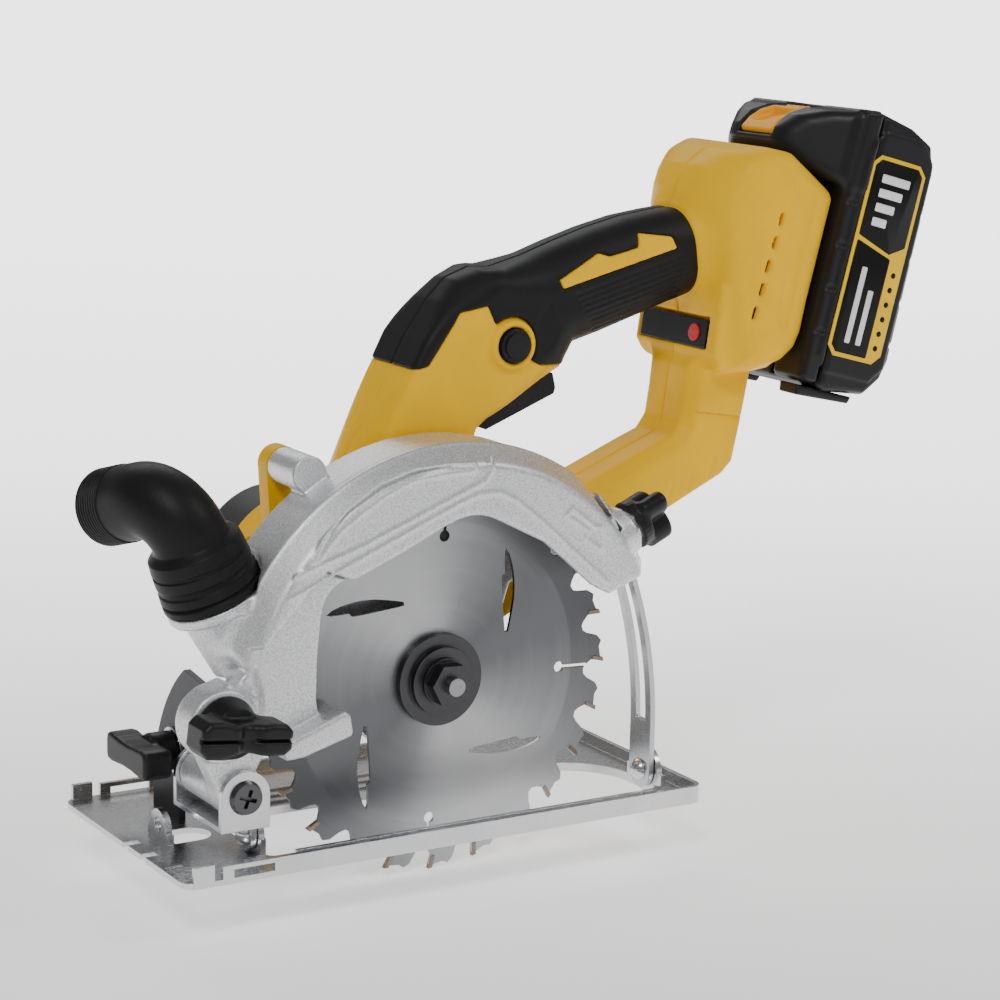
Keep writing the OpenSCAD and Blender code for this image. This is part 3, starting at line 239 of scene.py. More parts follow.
def ground_blade(name, centre):
    """Saw blade: fine rings of grinding about the centre, with a duller rim."""
    mat, nodes, links, bsdf = new_material(name)
    tex = nodes.new("ShaderNodeTexCoord")
    mapping = nodes.new("ShaderNodeMapping")
    mapping.vector_type = "TEXTURE"
    mapping.inputs["Location"].default_value = centre
    links.new(tex.outputs["Object"], mapping.inputs["Vector"])
    split = nodes.new("ShaderNodeSeparateXYZ")
    links.new(mapping.outputs[0], split.inputs[0])
    flat = combined(nodes, links, X=split.outputs["X"], Y=split.outputs["Z"])
    radius = vector_maths(nodes, links, "LENGTH", flat).outputs["Value"]
    rings = combined(nodes, links, X=radius)
    grind = noise(nodes, links, rings, 2600.0, 4.0, 0.7)
    broad = noise(nodes, links, rings, 220.0, 2.0)
    bsdf.inputs["Metallic"].default_value = 1.0
    # Painted highlights: two brighter and two duller sectors round the blade in the base colour stand in for
    # the streaks of studio light on a brushed disc
    turn = maths(nodes, links, "ARCTAN2", split.outputs["Z"], split.outputs["X"])
    doubled = maths(nodes, links, "MULTIPLY_ADD", turn, 2.0, math.radians(-232))
    painted_sheen = maths(nodes, links, "COSINE", doubled)
    tone = spread(nodes, links, broad, 0.42, 0.58)
    sheen_and_tone = maths(nodes, links, "MULTIPLY_ADD", painted_sheen, 0.44, tone)
    # Base colour from the painted highlight sectors plus random tone
    links.new(
        ramp(nodes, links, sheen_and_tone, [
            (0.1, (0.14, 0.142, 0.15)), (0.5, (0.27, 0.274, 0.285)), (0.9, (0.52, 0.525, 0.535)),
        ]),
        bsdf.inputs["Base Color"],
    )
    # Polished inside, dull in the band the teeth stand on
    rim = spread(nodes, links, radius, 0.85, 0.0, 0.0556, 0.0562)
    links.new(rim, bsdf.inputs["Anisotropic"])
    grit = spread(nodes, links, grind, 0.45, 0.51)
    links.new(maths(nodes, links, "MULTIPLY_ADD", rim, -0.2, grit), bsdf.inputs["Roughness"])
    # Highlights run out across the rings, along the radius
    around = combined(nodes, links, X=split.outputs["X"], Z=split.outputs["Z"])
    outward = vector_maths(nodes, links, "NORMALIZE", around)
    links.new(outward.outputs[0], bsdf.inputs["Tangent"])
    edges = soft_edges(nodes, 0.0002)
    links.new(bump(nodes, links, grind, 0.25, 0.00001, edges), bsdf.inputs["Normal"])
    return mat


MAT = {
    "yellow": plastic("yellow_plastic", (1.0, 0.56, 0.0), 0.45, worn=1.0, shine=0.12),
    "black": plastic("black_plastic", (0.009, 0.009, 0.01), 0.42),
    "grip": plastic("grip_rubber", (0.009, 0.009, 0.01), 0.52, 1500.0, 0.00006, shine=0.22),
    "knob": plastic("knob_plastic", (0.007, 0.007, 0.0075), 0.4),
    "elbow": plastic("elbow_rubber", (0.007, 0.007, 0.0075), 0.46, 900.0, 0.00005, 1.5, shine=0.2),
    "cap": plastic("motor_cap_plastic", (0.04, 0.04, 0.043), 0.5),
    "battery": plastic("battery_plastic", (0.01, 0.01, 0.0115), 0.4, 1600.0),
    "gloss": plastic("panel_gloss", (0.01, 0.01, 0.012), 0.15, 2500.0, 0.000004),
    "red": plastic("red_plastic", (0.55, 0.012, 0.01), 0.25),
    "latch": plastic("latch_plastic", (0.95, 0.42, 0.0), 0.4, worn=1.05, shine=0.22),
    "label": plastic("label_film", (0.92, 0.56, 0.0), 0.35, 2500.0, 0.000005, 1.05, shine=0.25),
    "label_black": plastic("label_print_black", (0.006, 0.006, 0.006), 0.4, 2500.0, 0.000005,
                           shine=0.15),
    "label_white": plastic("label_print_white", (0.8, 0.8, 0.8), 0.35, 2500.0, 0.000005),
    "board": plastic("circuit_board", (0.02, 0.2, 0.07), 0.35),
    "cell": plastic("cell_sleeve", (0.08, 0.25, 0.5), 0.25),
    "copper": metal("copper_wire", (0.7, 0.3, 0.12), 0.3, 900.0, (1, 8, 1)),
    "plated": metal("zinc_plate", (0.74, 0.745, 0.76), 0.26, 300.0, (1, 12, 12), 0.000008),
    "strap": metal("strap_steel", (0.6, 0.61, 0.63), 0.28, 500.0, (10, 10, 1)),
    "rivet": metal("bright_steel", (0.75, 0.76, 0.78), 0.2),
    "screw": metal("black_oxide", (0.12, 0.12, 0.125), 0.35),
    "dark_steel": metal("blackened_steel", (0.05, 0.05, 0.055), 0.4),
    "flange": metal("flange_steel", (0.085, 0.085, 0.09), 0.38, 700.0),
    "machined": metal("machined_aluminium", (0.78, 0.79, 0.8), 0.25, 800.0, (1, 1, 10)),
    "brass": metal("contact_brass", (0.8, 0.6, 0.25), 0.2),
    "core": metal("laminated_steel", (0.35, 0.35, 0.37), 0.35, 900.0, (1, 20, 1)),
    "carbide": metal("carbide_tip", (0.32, 0.24, 0.19), 0.35, 1200.0),
    "cast": sparkle_cast("cast_silver", (0.8, 0.805, 0.82)),
    "blade": ground_blade("ground_blade", BODY.translation),
}

SLOT_MATERIAL = {
    "plated_steel": "plated", "dark_steel": "dark_steel", "strap_steel": "strap",
    "rivet_steel": "rivet", "screw_steel": "screw", "cast_aluminium": "cast",
    "machined_aluminium": "machined", "yellow_plastic": "yellow", "dark_plastic": "black",
    "grip_rubber": "grip", "knob_plastic": "knob", "cap_plastic": "cap", "elbow_rubber": "elbow",
    "panel_plastic": "gloss", "red_plastic": "red", "circuit_board": "board",
    "contact_brass": "brass", "blade_steel": "blade", "carbide": "carbide",
    "flange_steel": "flange", "bearing_steel": "rivet", "core_steel": "core", "copper": "copper",
    "gear_steel": "core", "battery_plastic": "battery", "label_film": "label",
    "cell_sleeve": "cell", "latch_plastic": "latch",
}
for part in frame["record"]["subparts"]:
    shown = frame["nodes"][part["node"]]
    finish = MAT[SLOT_MATERIAL[part["material_slot"]]]
    shown.data.materials.clear()
    shown.data.materials.append(finish)

# ---------------------------------------------------------------- meshes


def add_mesh(name, verts, faces, mat, body, place=BODY, smooth=35.0):
    """New piece from points in millimetres in the frame `place`, riding on a CAD body."""
    mesh = bpy.data.meshes.new(name)
    points = np.asarray(verts, float)
    flat = np.asarray(place, float)
    points = points @ flat[:3, :3].T + flat[:3, 3]
    mesh.from_pydata(points.tolist(), [], [tuple(int(i) for i in f) for f in faces])
    mesh.update()
    obj = bpy.data.objects.new(name, mesh)
    bpy.context.collection.objects.link(obj)
    mesh.materials.append(MAT[mat])
    shade(obj, smooth)
    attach(obj, body)
    return obj


MATERIAL_SLOT = {mat: slot for slot, mat in reversed(list(SLOT_MATERIAL.items()))}
MATERIAL_SLOT.update(gloss="panel_plastic", label_black="label_film", label_white="label_film")


def shade(obj, angle):
    mesh = obj.data
    mesh.polygons.foreach_set("use_smooth", [True] * len(mesh.polygons))
    mesh.set_sharp_from_angle(angle=math.radians(angle))


def arc(cx, cy, r, start, end, steps):
    """Points on an arc, with angles in degrees."""
    turns = [math.radians(start + (end - start) * i / steps) for i in range(steps + 1)]
    return [(cx + r * math.cos(a), cy + r * math.sin(a)) for a in turns]


def rounded(points, radius, steps=4):
    """Polygon whose corners are replaced by arcs of about that radius."""
    out = []
    n = len(points)
    for i in range(n):
        p, q, s = (np.array(points[(i + d) % n], float) for d in (-1, 0, 1))
        a, b = p - q, s - q
        la, lb = np.linalg.norm(a), np.linalg.norm(b)
        a, b = a / la, b / lb
        half = math.acos(max(-1, min(1, float(a @ b)))) / 2
        cut = min(radius / max(math.tan(half), 1e-3), 0.45 * la, 0.45 * lb)
        start, end = q + a * cut, q + b * cut
        for k in range(steps + 1):
            t = k / steps
            out.append(tuple((1 - t) ** 2 * start + 2 * t * (1 - t) * q + t * t * end))
    return out


def plate(name, outlines, y0, y1, edge, mat, body, place=BODY, turn=None):
    """Flat piece with rounded edges: outlines (the first outside, the rest holes) in X and Z,
    from y0 to y1. turn maps a point (a, b, y) of the outline's plane to millimetres in place."""
    data = bpy.data.curves.new(name, "CURVE")
    data.dimensions = "2D"
    data.fill_mode = "BOTH"
    for outline in outlines:
        line = data.splines.new("POLY")
        line.points.add(len(outline) - 1)
        for point, (a, b) in zip(line.points, outline):
            point.co = (a, b, 0, 1)
        line.use_cyclic_u = True
    data.extrude = (y1 - y0) / 2 - edge
    data.bevel_depth = edge
    data.bevel_resolution = 3
    data.offset = -edge
    curve = bpy.data.objects.new(name + "_curve", data)
    bpy.context.collection.objects.link(curve)
    bpy.context.view_layer.update()
    graph = bpy.context.evaluated_depsgraph_get()
    mesh = bpy.data.meshes.new_from_object(curve.evaluated_get(graph))
    bpy.data.objects.remove(curve)
    bpy.data.curves.remove(data)
    middle = (y0 + y1) / 2
    turn = turn or (lambda a, b, y: (a, y, b))
    verts = [turn(v.co.x, v.co.y, v.co.z + middle) for v in mesh.vertices]
    faces = [tuple(p.vertices) for p in mesh.polygons]
    bpy.data.meshes.remove(mesh)
    obj = add_mesh(name, verts, faces, mat, body, place)
    weld(obj)
    return obj


def weld(obj):
    bm = bmesh.new()
    bm.from_mesh(obj.data)
    bmesh.ops.remove_doubles(bm, verts=bm.verts, dist=1e-6)
    bmesh.ops.recalc_face_normals(bm, faces=bm.faces)
    bm.to_mesh(obj.data)
    bm.free()


def tube(name, rings, mat, body, place, steps, smooth):
    """Skin over circles: each ring is (centre, normal, radius), and the last joins the first."""
    verts, faces = [], []
    up = None
    for centre, normal, radius in rings:
        w = Vector(normal).normalized()
        if up is None:
            up = w.orthogonal().normalized()
        u = (up - w * up.dot(w)).normalized()
        up = u
        v = w.cross(u)
        for i in range(steps):
            a = 2 * math.pi * i / steps
            p = Vector(centre) + (u * math.cos(a) + v * math.sin(a)) * radius
            verts.append(tuple(p))
    for k in range(len(rings)):
        here, there = k * steps, (k + 1) % len(rings) * steps
        for i in range(steps):
            j = (i + 1) % steps
            faces.append((here + i, here + j, there + j, there + i))
    obj = add_mesh(name, verts, faces, mat, body, place, smooth)
    weld(obj)
    return obj


# ---------------------------------------------------------------- solids as fields
# Moulded and cast shapes with blended corners are fields of signed distance on a grid, in
# millimetres: below zero inside. A net of quads is laid over each.


def to_segment(px, py, start, end):
    """Square of the distance from points to the segment from start to end."""
    (ax, ay), (bx, by) = start, end
    ex, ey = bx - ax, by - ay
    wx, wy = px - ax, py - ay
    t = np.clip((wx * ex + wy * ey) / max(ex * ex + ey * ey, 1e-9), 0, 1)
    return (wx - ex * t) ** 2 + (wy - ey * t) ** 2


class Field:
    """Grid over a box, with the coordinates of its points."""

    def __init__(self, low, high, step):
        self.low, self.step = np.array(low, float), step
        counts = [int(math.ceil((h - l) / step)) + 1 for l, h in zip(low, high)]
        axes = [l + step * np.arange(n) for l, n in zip(low, counts)]
        self.x = axes[0][:, None, None].astype(np.float32)
        self.y = axes[1][None, :, None].astype(np.float32)
        self.z = axes[2][None, None, :].astype(np.float32)

    def outline(self, points, plane=None):
        """Distance to a polygon drawn in X and Z, or in the two coordinates of plane."""
        px, py = np.broadcast_arrays(*(plane or (self.x, self.z)))
        best = np.full(px.shape, 1e9, np.float32)
        inside = np.zeros(px.shape, bool)
        for (ax, ay), (bx, by) in zip(points, points[1:] + points[:1]):
            best = np.minimum(best, to_segment(px, py, (ax, ay), (bx, by)))
            if ay != by:
                crosses = (ay > py) != (by > py)
                inside ^= crosses & (px < (bx - ax) * (py - ay) / (by - ay) + ax)
        best = np.sqrt(best)
        return np.where(inside, -best, best)

    def bead(self, points, y, radius):
        """Round bead laid along an open line of points in X and Z at that y."""
        best = 1e9
        for start, end in zip(points, points[1:]):
            best = np.minimum(best, to_segment(self.x, self.z, start, end))
        return np.sqrt(best + (self.y - y) ** 2) - radius

    def prism(self, d, low, high, radius):
        """Outline distance d pulled out along Y from low to high, edges rounded."""
        flat = np.abs(self.y - (low + high) / 2) - (high - low) / 2
        a, b = d + radius, flat + radius
        return np.minimum(np.maximum(a, b), 0) + np.hypot(np.maximum(a, 0), np.maximum(b, 0)) - radius

    def slab(self, points, low, high, radius, plane=None):
        """Outline through points pulled out along Y, edges rounded."""
        return self.prism(self.outline(points, plane), low, high, radius)

    def rod(self, a, b, radius, end=None, flat=True):
        """Round rod or cone from a to b, with flat ends unless flat is False."""
        a, b = np.array(a, float), np.array(b, float)
        axis = b - a
        length = np.linalg.norm(axis)
        axis /= length
        wx, wy, wz = self.x - a[0], self.y - a[1], self.z - a[2]
        t = wx * axis[0] + wy * axis[1] + wz * axis[2]
        across = np.sqrt(np.maximum(wx * wx + wy * wy + wz * wz - t * t, 0))
        end = radius if end is None else end
        if not flat:
            t2 = np.clip(t, 0, length)
            return np.sqrt(across ** 2 + (t - t2) ** 2) - (radius + (end - radius) * t2 / length)
        side = across - (radius + (end - radius) * np.clip(t / length, 0, 1))
        caps = np.maximum(-t, t - length)
        outer = np.hypot(np.maximum(side, 0), np.maximum(caps, 0))
        return np.minimum(np.maximum(side, caps), 0) + outer

    def pin(self, x, z, low, high, radius):
        """Round rod along Y from low to high."""
        return self.rod((x, low, z), (x, high, z), radius)

    def below(self, normal, point):
        """Half space behind the plane through point with that outward normal."""
        n = np.array(normal, float)
        n /= np.linalg.norm(n)
        return (self.x - point[0]) * n[0] + (self.y - point[1]) * n[1] + (self.z - point[2]) * n[2]

    def net(self, d):
        """Vertices and quads of the surface where d crosses zero."""
        whole = np.broadcast_to(d, (self.x.size, self.y.size, self.z.size))
        return surface_net(whole, self.low, self.step)


def join(a, b, k=0.0):
    """Union, with a fillet of about k."""
    if k <= 0:
        return np.minimum(a, b)
    h = np.maximum(k - np.abs(a - b), 0) / k
    return np.minimum(a, b) - h * h * k * 0.25


def cut(a, b, k=0.0):
    """a without b, with the edge rounded by about k."""
    return -join(-a, b, k)


def both(a, b, k=0.0):
    return -join(-a, -b, k)


def surface_net(d, low, step):
    """Vertices and quads where d crosses zero on a grid from low by step."""
    cells = tuple(n - 1 for n in d.shape)
    ids, points, quads = [], [], []
    for axis in range(3):
        first, second = [slice(None)] * 3, [slice(None)] * 3
        first[axis], second[axis] = slice(0, -1), slice(1, None)
        a, b = d[tuple(first)], d[tuple(second)]
        at = np.stack(np.nonzero((a < 0) != (b < 0)), 1)
        va, vb = a[tuple(at.T)], b[tuple(at.T)]
        p = at.astype(float)
        p[:, axis] += va / (va - vb)
        u, v = [n for n in range(3) if n != axis]
        corner = []
        good = np.ones(len(at), bool)
        for du, dv in ((0, 0), (1, 0), (1, 1), (0, 1)):
            c = at.copy()
            c[:, u] -= du
            c[:, v] -= dv
            good &= (c[:, u] >= 0) & (c[:, v] >= 0) & (c[:, u] < cells[u]) & (c[:, v] < cells[v])
            corner.append(c)
        corner = [(c[good, 0] * cells[1] + c[good, 1]) * cells[2] + c[good, 2] for c in corner]
        p, va = p[good], va[good]
        for c in corner:
            ids.append(c)
            points.append(p)
        flip = (va < 0) == (axis == 1)
        q = np.stack(corner, 1)
        q[flip] = q[flip][:, ::-1]
        quads.append(q)
    ids, points, quads = np.concatenate(ids), np.concatenate(points), np.concatenate(quads)
    found, where = np.unique(ids, return_inverse=True)
    count = np.bincount(where)
    verts = np.stack([np.bincount(where, points[:, n]) / count for n in range(3)], 1)
    faces = np.searchsorted(found, quads)
    return verts * step + low, faces


def relaxed(verts, faces, rounds=2, keep=0.5):
    """Evens out the net by moving each vertex towards the middle of its neighbours."""
    edges = np.concatenate([faces[:, [0, 1]], faces[:, [1, 2]], faces[:, [2, 3]], faces[:, [3, 0]]])
    n = len(verts)
    degree = np.bincount(edges[:, 0], minlength=n) + np.bincount(edges[:, 1], minlength=n)
    for _ in range(rounds):
        total = np.stack([
            np.bincount(edges[:, 0], verts[edges[:, 1], k], n)
            + np.bincount(edges[:, 1], verts[edges[:, 0], k], n)
            for k in range(3)
        ], 1)
        verts = verts * keep + total / degree[:, None] * (1 - keep)
    return verts


def moulded(name, field, d, mat, body, place=BODY, rounds=2, keep=0.5):
    """Piece from the surface of the solid whose distance is d."""
    verts, faces = field.net(d)
    verts = relaxed(verts, faces, rounds, keep)
    return add_mesh(name, verts, faces, mat, body, place, 60.0)


# ---------------------------------------------------------------- handle and housing

MID = 30.0
MOTOR = (-17.2, 29.8)
BUTTON = (55.0, 106.5)
ARM_HALF = 16
ARM_CHAMFER = 4.6
# Scales a distance measured along one of two axes to one square across both
DIAGONAL = 0.7071
# Each half's name here, its name in the CAD and its direction in Y from the middle
SIDES = (("near", "left", 1), ("far", "right", -1))


def hull(points):
    """Corners of the smallest convex outline round the points."""
    points = sorted(set(points))

    def chain(rows):
        out = []
        for p in rows:
            while len(out) > 1 and (
                (out[-1][0] - out[-2][0]) * (p[1] - out[-2][1])
                <= (out[-1][1] - out[-2][1]) * (p[0] - out[-2][0])
            ):
                out.pop()
            out.append(p)
        return out[:-1]

    return chain(points) + chain(points[::-1])


def link(c1, r1, c2, r2):
    """Outline of two circles and the flat flanks between them."""
    return hull(arc(*c1, r1, 0, 360, 48) + arc(*c2, r2, 0, 360, 48))


def blend_step(t, low, high):
    s = np.clip((t - low) / (high - low), 0, 1)
    return s * s * (3 - 2 * s)


NECK = [
    (-29, 50), (-21.5, 63.5), (-12.5, 74.5), (14.5, 105.8), (21.5, 115), (32.5, 126.2),
    (40.5, 132), (50.1, 133.8), (58.6, 132), (72.4, 133.3), (86.9, 135.8), (101, 137.7),
    (115.7, 138.8), (129.9, 138.5), (152, 137), (152, 107), (139.5, 106.4), (95.9, 100.6),
    (84.6, 99.4), (80.6, 94.5), (78.5, 91), (42, 82.2), (37.3, 79.5), (33.5, 72), (30, 62),
    (28, 54), (27, 44), (-10, 30),
]
GRIP_EDGE = [
    (0, 106.3), (20.6, 106.5), (36.4, 122.4), (47.5, 122.4), (50, 113.9), (56, 104), (65.3, 96.8),
    (78.5, 93.2), (79.5, 86), (137.5, 86), (137.8, 150), (0, 150),
]
INLAY = [
    (78.8, 121.5), (77.9, 125), (96.3, 131), (100.4, 129), (112.7, 129.7), (114.7, 134.5),
    (127.9, 130.7), (129.1, 125.9),
]
ARM_LINE = [
    (0, 28), (30, 36.2), (80.6, 46.6), (112.7, 54), (120.5, 55.6), (125, 60), (128.3, 70), (131, 80),
    (140, 92), (160, 92), (158, 76), (156, 69.5), (150.4, 54.4), (144.8, 40.5), (139.5, 36.8),
    (113.7, 29.6), (20, 2.4), (5, 0),
]
HEAD = [
    (139, 100), (139.4, 137), (142, 145.5), (148, 152.5), (157, 156.6), (168, 156.6), (176, 153.2),
    (190.6, 136.8), seat(200, 121), seat(160, 121), (171.5, 86.5), (167.5, 81), (161, 77.6),
    (150, 77), (143, 80),
]
PANEL_BLOCK = [
    (133.6, 86), (137.4, 97.8), (141, 110), (152, 112), (166, 104), (164, 84), (158, 75.5),
    (140, 76.6), (136, 79.4),
]


def neck_shape(f):
    """Distance to the neck and grip, squarer at the neck and round along the grip."""
    line = f.outline(NECK)
    edge = 2.6 + 10.4 * blend_step(f.x, 42, 78)
    d = f.prism(line, 13.5, 46.5, edge)
    for side, y in ((-1, 13.5), (1, 46.5)):
        d = both(d, f.below((-0.76, side * 0.43, 0.485), (1, y, 84.7)), 2.0)
        d = both(d, f.below((-0.3, side * 0.62, 0.72), (40, y, 124.5)), 3.0)
    return d


def trigger_slot(f):
    line = [(40.3, 79), (77.7, 79), (77.7, 96.2), (72, 99.2), (66, 101.7), (40.3, 94.8)]
    return f.slab(line, 23.3, 36.7, 0.2)


def handle_shape(f):
    # The core under the soft grip is lower than the grip's ribs
    under = blend_step(-f.outline(GRIP_EDGE), -0.3, 0.5)
    d = neck_shape(f) + 1.4 * under
    ring = f.prism(np.hypot(f.x - BUTTON[0], f.z - BUTTON[1]) - 9.2, 11.2, 30, 1.6)
    d = join(d, ring, 1.6)
    arm = f.slab(ARM_LINE, 14, 46, 2.2)
    # Wide flats along the arm's inner edges
    inner = -f.outline([
        (30, 36.2), (80.6, 46.6), (112.7, 54), (120.5, 55.6), (125, 60), (128.3, 70), (131, 80),
        (100, 110), (40, 90),
    ])
    arm = both(arm, (inner + np.abs(f.y - MID) - ARM_HALF + ARM_CHAMFER) * DIAGONAL, 1.0)
    head = f.slab(HEAD, -4, 64, 8.5)
    for side, y in ((-1, -4), (1, 64)):
        head = both(head, f.below((-0.62, side * 0.75, 0.2), (159, y, 142)), 13.0)
        # Low step along both sides beside the battery, half of it in each pass
        band = f.outline([(174, 144), (158, 94), (162, 90), (182.5, 139)])
        head = head + 0.45 * blend_step(-band, 0, 1.2) * blend_step(np.abs(f.y - MID), 28, 32)
    block = f.slab(PANEL_BLOCK, 4, 56, 2.2)
    for side, y in ((-1, 4), (1, 56)):
        block = both(block, f.below((-0.25, side * 0.62, -0.75), (140, y, 80.5)), 1.0)
    head = join(head, block, 3.0)
    d = join(join(d, head, 7.0), arm, 2.5)
    # Rail for the battery
    for low, high, y0, y1 in ((120.9, 124.5, 12, 48), (124.5, 127.5, 8, 52)):
        bar = f.slab([seat(150, low), seat(200, low), seat(200, high), seat(150, high)],
                     y0, y1, 0.3)
        d = join(d, bar)
    # Clear of the gear case, the motor and the flange beside them
    d = cut(d, f.slab(link((0, 0), 30.5, MOTOR, 31.4), 0, 60, 0.1))
    d = cut(d, f.slab(link(MOTOR, 30.4, (-36, 83.5), 6.9), 0, 29.4, 0.1))
    # Trigger's slot, button's bore, panel's seat
    d = cut(d, trigger_slot(f), 0.5)
    d = cut(d, f.prism(np.hypot(f.x - BUTTON[0], f.z - BUTTON[1]) - 6.4, 5, 24, 0.2), 1.2)
    d = cut(d, f.slab([(130, 98.2), (139.6, 98.2), (136.2, 86.6), (130, 88)],
                      9.6, 52.4, 0.2), 0.4)
    # Air slots in both sides of the housing
    for i in range(5):
        x, z = 165.4 - 3.75 * i, 131 - 8.05 * i
        ax, az = 1.0, 2.3
        slot = [(x - ax - 0.8, z - az + 0.3), (x - ax + 0.7, z - az - 0.3),
                (x + ax + 0.8, z + az - 0.3), (x + ax - 0.7, z + az + 0.3)]
        for y0, y1 in ((-8, 0.6), (59.4, 68)):
            d = cut(d, f.slab(slot, y0, y1, 0.1), 0.4)
    # Groove across the arm and short slanting grooves along its foot
    groove = [(104, 72.6), (160, 53.6), (160, 53), (104, 72)]
    d = cut(d, f.slab(groove, 10, 15.0, 0.1), 0.5)
    for i in range(3):
        x, z = 112 + i * 10, 31 + i * 2.7
        groove = [(x, z), (x + 1, z + 0.2), (x + 5, z + 8), (x + 4, z + 8)]
        for y0, y1 in ((10, 14.7), (45.3, 50)):
            d = cut(d, f.slab(groove, y0, y1, 0.1), 0.5)
    return d


def handle():
    f = Field((-36, -6, -4), (198, 66, 160), 0.7)
    d = handle_shape(f)
    for near, left, sign in SIDES:
        half = both(d, (f.y - MID) * sign + 0.08)
        piece = moulded("housing_" + near, f, half, "yellow", "saw_body")
        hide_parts("handle_shell_" + left)


def grips():
    f = Field((8, 12, 84), (142, 48, 142), 0.5)
    neck = neck_shape(f)
    region = f.outline(GRIP_EDGE)
    ring = np.hypot(f.x - BUTTON[0], f.z - BUTTON[1]) - 9.9
    side = blend_step(np.abs(f.y - MID), 5, 9)
    w = f.z - 0.1 * (f.x - 85)
    ribs = (
        blend_step(f.x, 81.7 + (119.5 - f.z) * 0.48, 84.5 + (119.5 - f.z) * 0.48)
        * (1 - blend_step(f.x, 129, 131.5)) * (1 - blend_step(w, 119.2, 120.2)) * side
    )
    wave = 0.5 + 0.5 * np.cos(2 * math.pi * w / 2.15)
    skin = neck - 0.45 + 0.55 * ribs * wave ** 2
    patch = f.outline([(72.2, 118.9), (77.2, 108.6), (72.3, 102), (67.1, 99.5), (64, 105), (66, 114)])
    teeth = (0.5 + 0.5 * np.cos(2 * math.pi * (f.x + 0.18 * f.z) / 1.5)) ** 2
    skin = skin + 0.35 * blend_step(-patch, 0, 1.5) * side * teeth
    skin = both(skin, np.maximum(region, -ring), 0.8)
    inlay = f.outline(INLAY)
    skin = cut(skin, np.maximum(inlay, 9 - np.abs(f.y - MID)), 0.3)
    skin = cut(skin, trigger_slot(f), 0.5)
    for near, left, sign in SIDES:
        half = (f.y - MID) * sign + 0.1
        piece = moulded("grip_" + near, f, both(skin, half, 0.5), "grip", "saw_body", keep=0.6)
        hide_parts("grip_" + left)
        band = both(both(neck - 0.75, inlay + 0.15, 0.6), (f.y - MID) * sign + 9.2)
        piece = moulded("inlay_" + near, f, band, "yellow", "saw_body", keep=0.6)
        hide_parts("grip_inlay_" + left)


def vent_shade_plates():
    """Black plates behind the housing's air slots: painted shade in the slots' depths."""
    line = [(164.4, 135.2), (168.6, 133.6), (152.4, 95.8), (148.2, 97.4)]
    for (near, left, _), y in zip(SIDES, (-0.1, 58.9)):
        piece = plate("vent_shade_plate_" + near, [line], y, y + 1.2, 0.1, "black", "saw_body")
        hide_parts("handle_shell_" + left)


handle()
grips()
vent_shade_plates()

# ---------------------------------------------------------------- blade guard

GUARD_AREA = [(-100, 3), (-100, 100), (100, 100), (100, 25), (63, 18), (57, 22.3), (40, 22.3), (30, 3)]
GUARD_MOUTH = (
    [(-54.5, -20), (-54.5, 12), (-52, 26), (-48.6, 39)]
    + arc(-35.5, 37.5, 13, 168, 112, 4)
    + [(-16, 55.1), (0.5, 59.7)]
    + arc(9, 40.5, 20.5, 98, 52, 5)
    + [(38.9, 44), (47.9, 33.4), (57, 22.3), (63, 14), (63, -20)]
)
LEG = [(-100, 0), (-100, 36), (-72, 36), (-45, 56), (-36, 50), (-50, 20), (-50, 0)]
GUARD_FACE = -20.5
PAD = (-93.0, 16.6)
EAR = (-36.0, 83.5)
SPIGOT = (-76.4, 5.0, 51.5)
SPIGOT_LEAN = -14
LEAN = (math.sin(math.radians(SPIGOT_LEAN)), 0, math.cos(math.radians(SPIGOT_LEAN)))
# Middle of the depth strap at its pivot, and the way from there to the depth clamp's stud
HINGE = (-88, -11, -11)
STUD_RISE = 16
STUD = (math.cos(math.radians(STUD_RISE)), 0, math.sin(math.radians(STUD_RISE)))


def along(origin, axis, s):
    """Point at a distance s from origin along axis."""
    return tuple(o + a * s for o, a in zip(origin, axis))


def up(s):
    """Point at a height s on the spigot's middle line."""
    return along(SPIGOT, LEAN, s)


def out(s):
    """Point on the depth stud's line at a distance s from the hinge."""
    return along(HINGE, STUD, s)


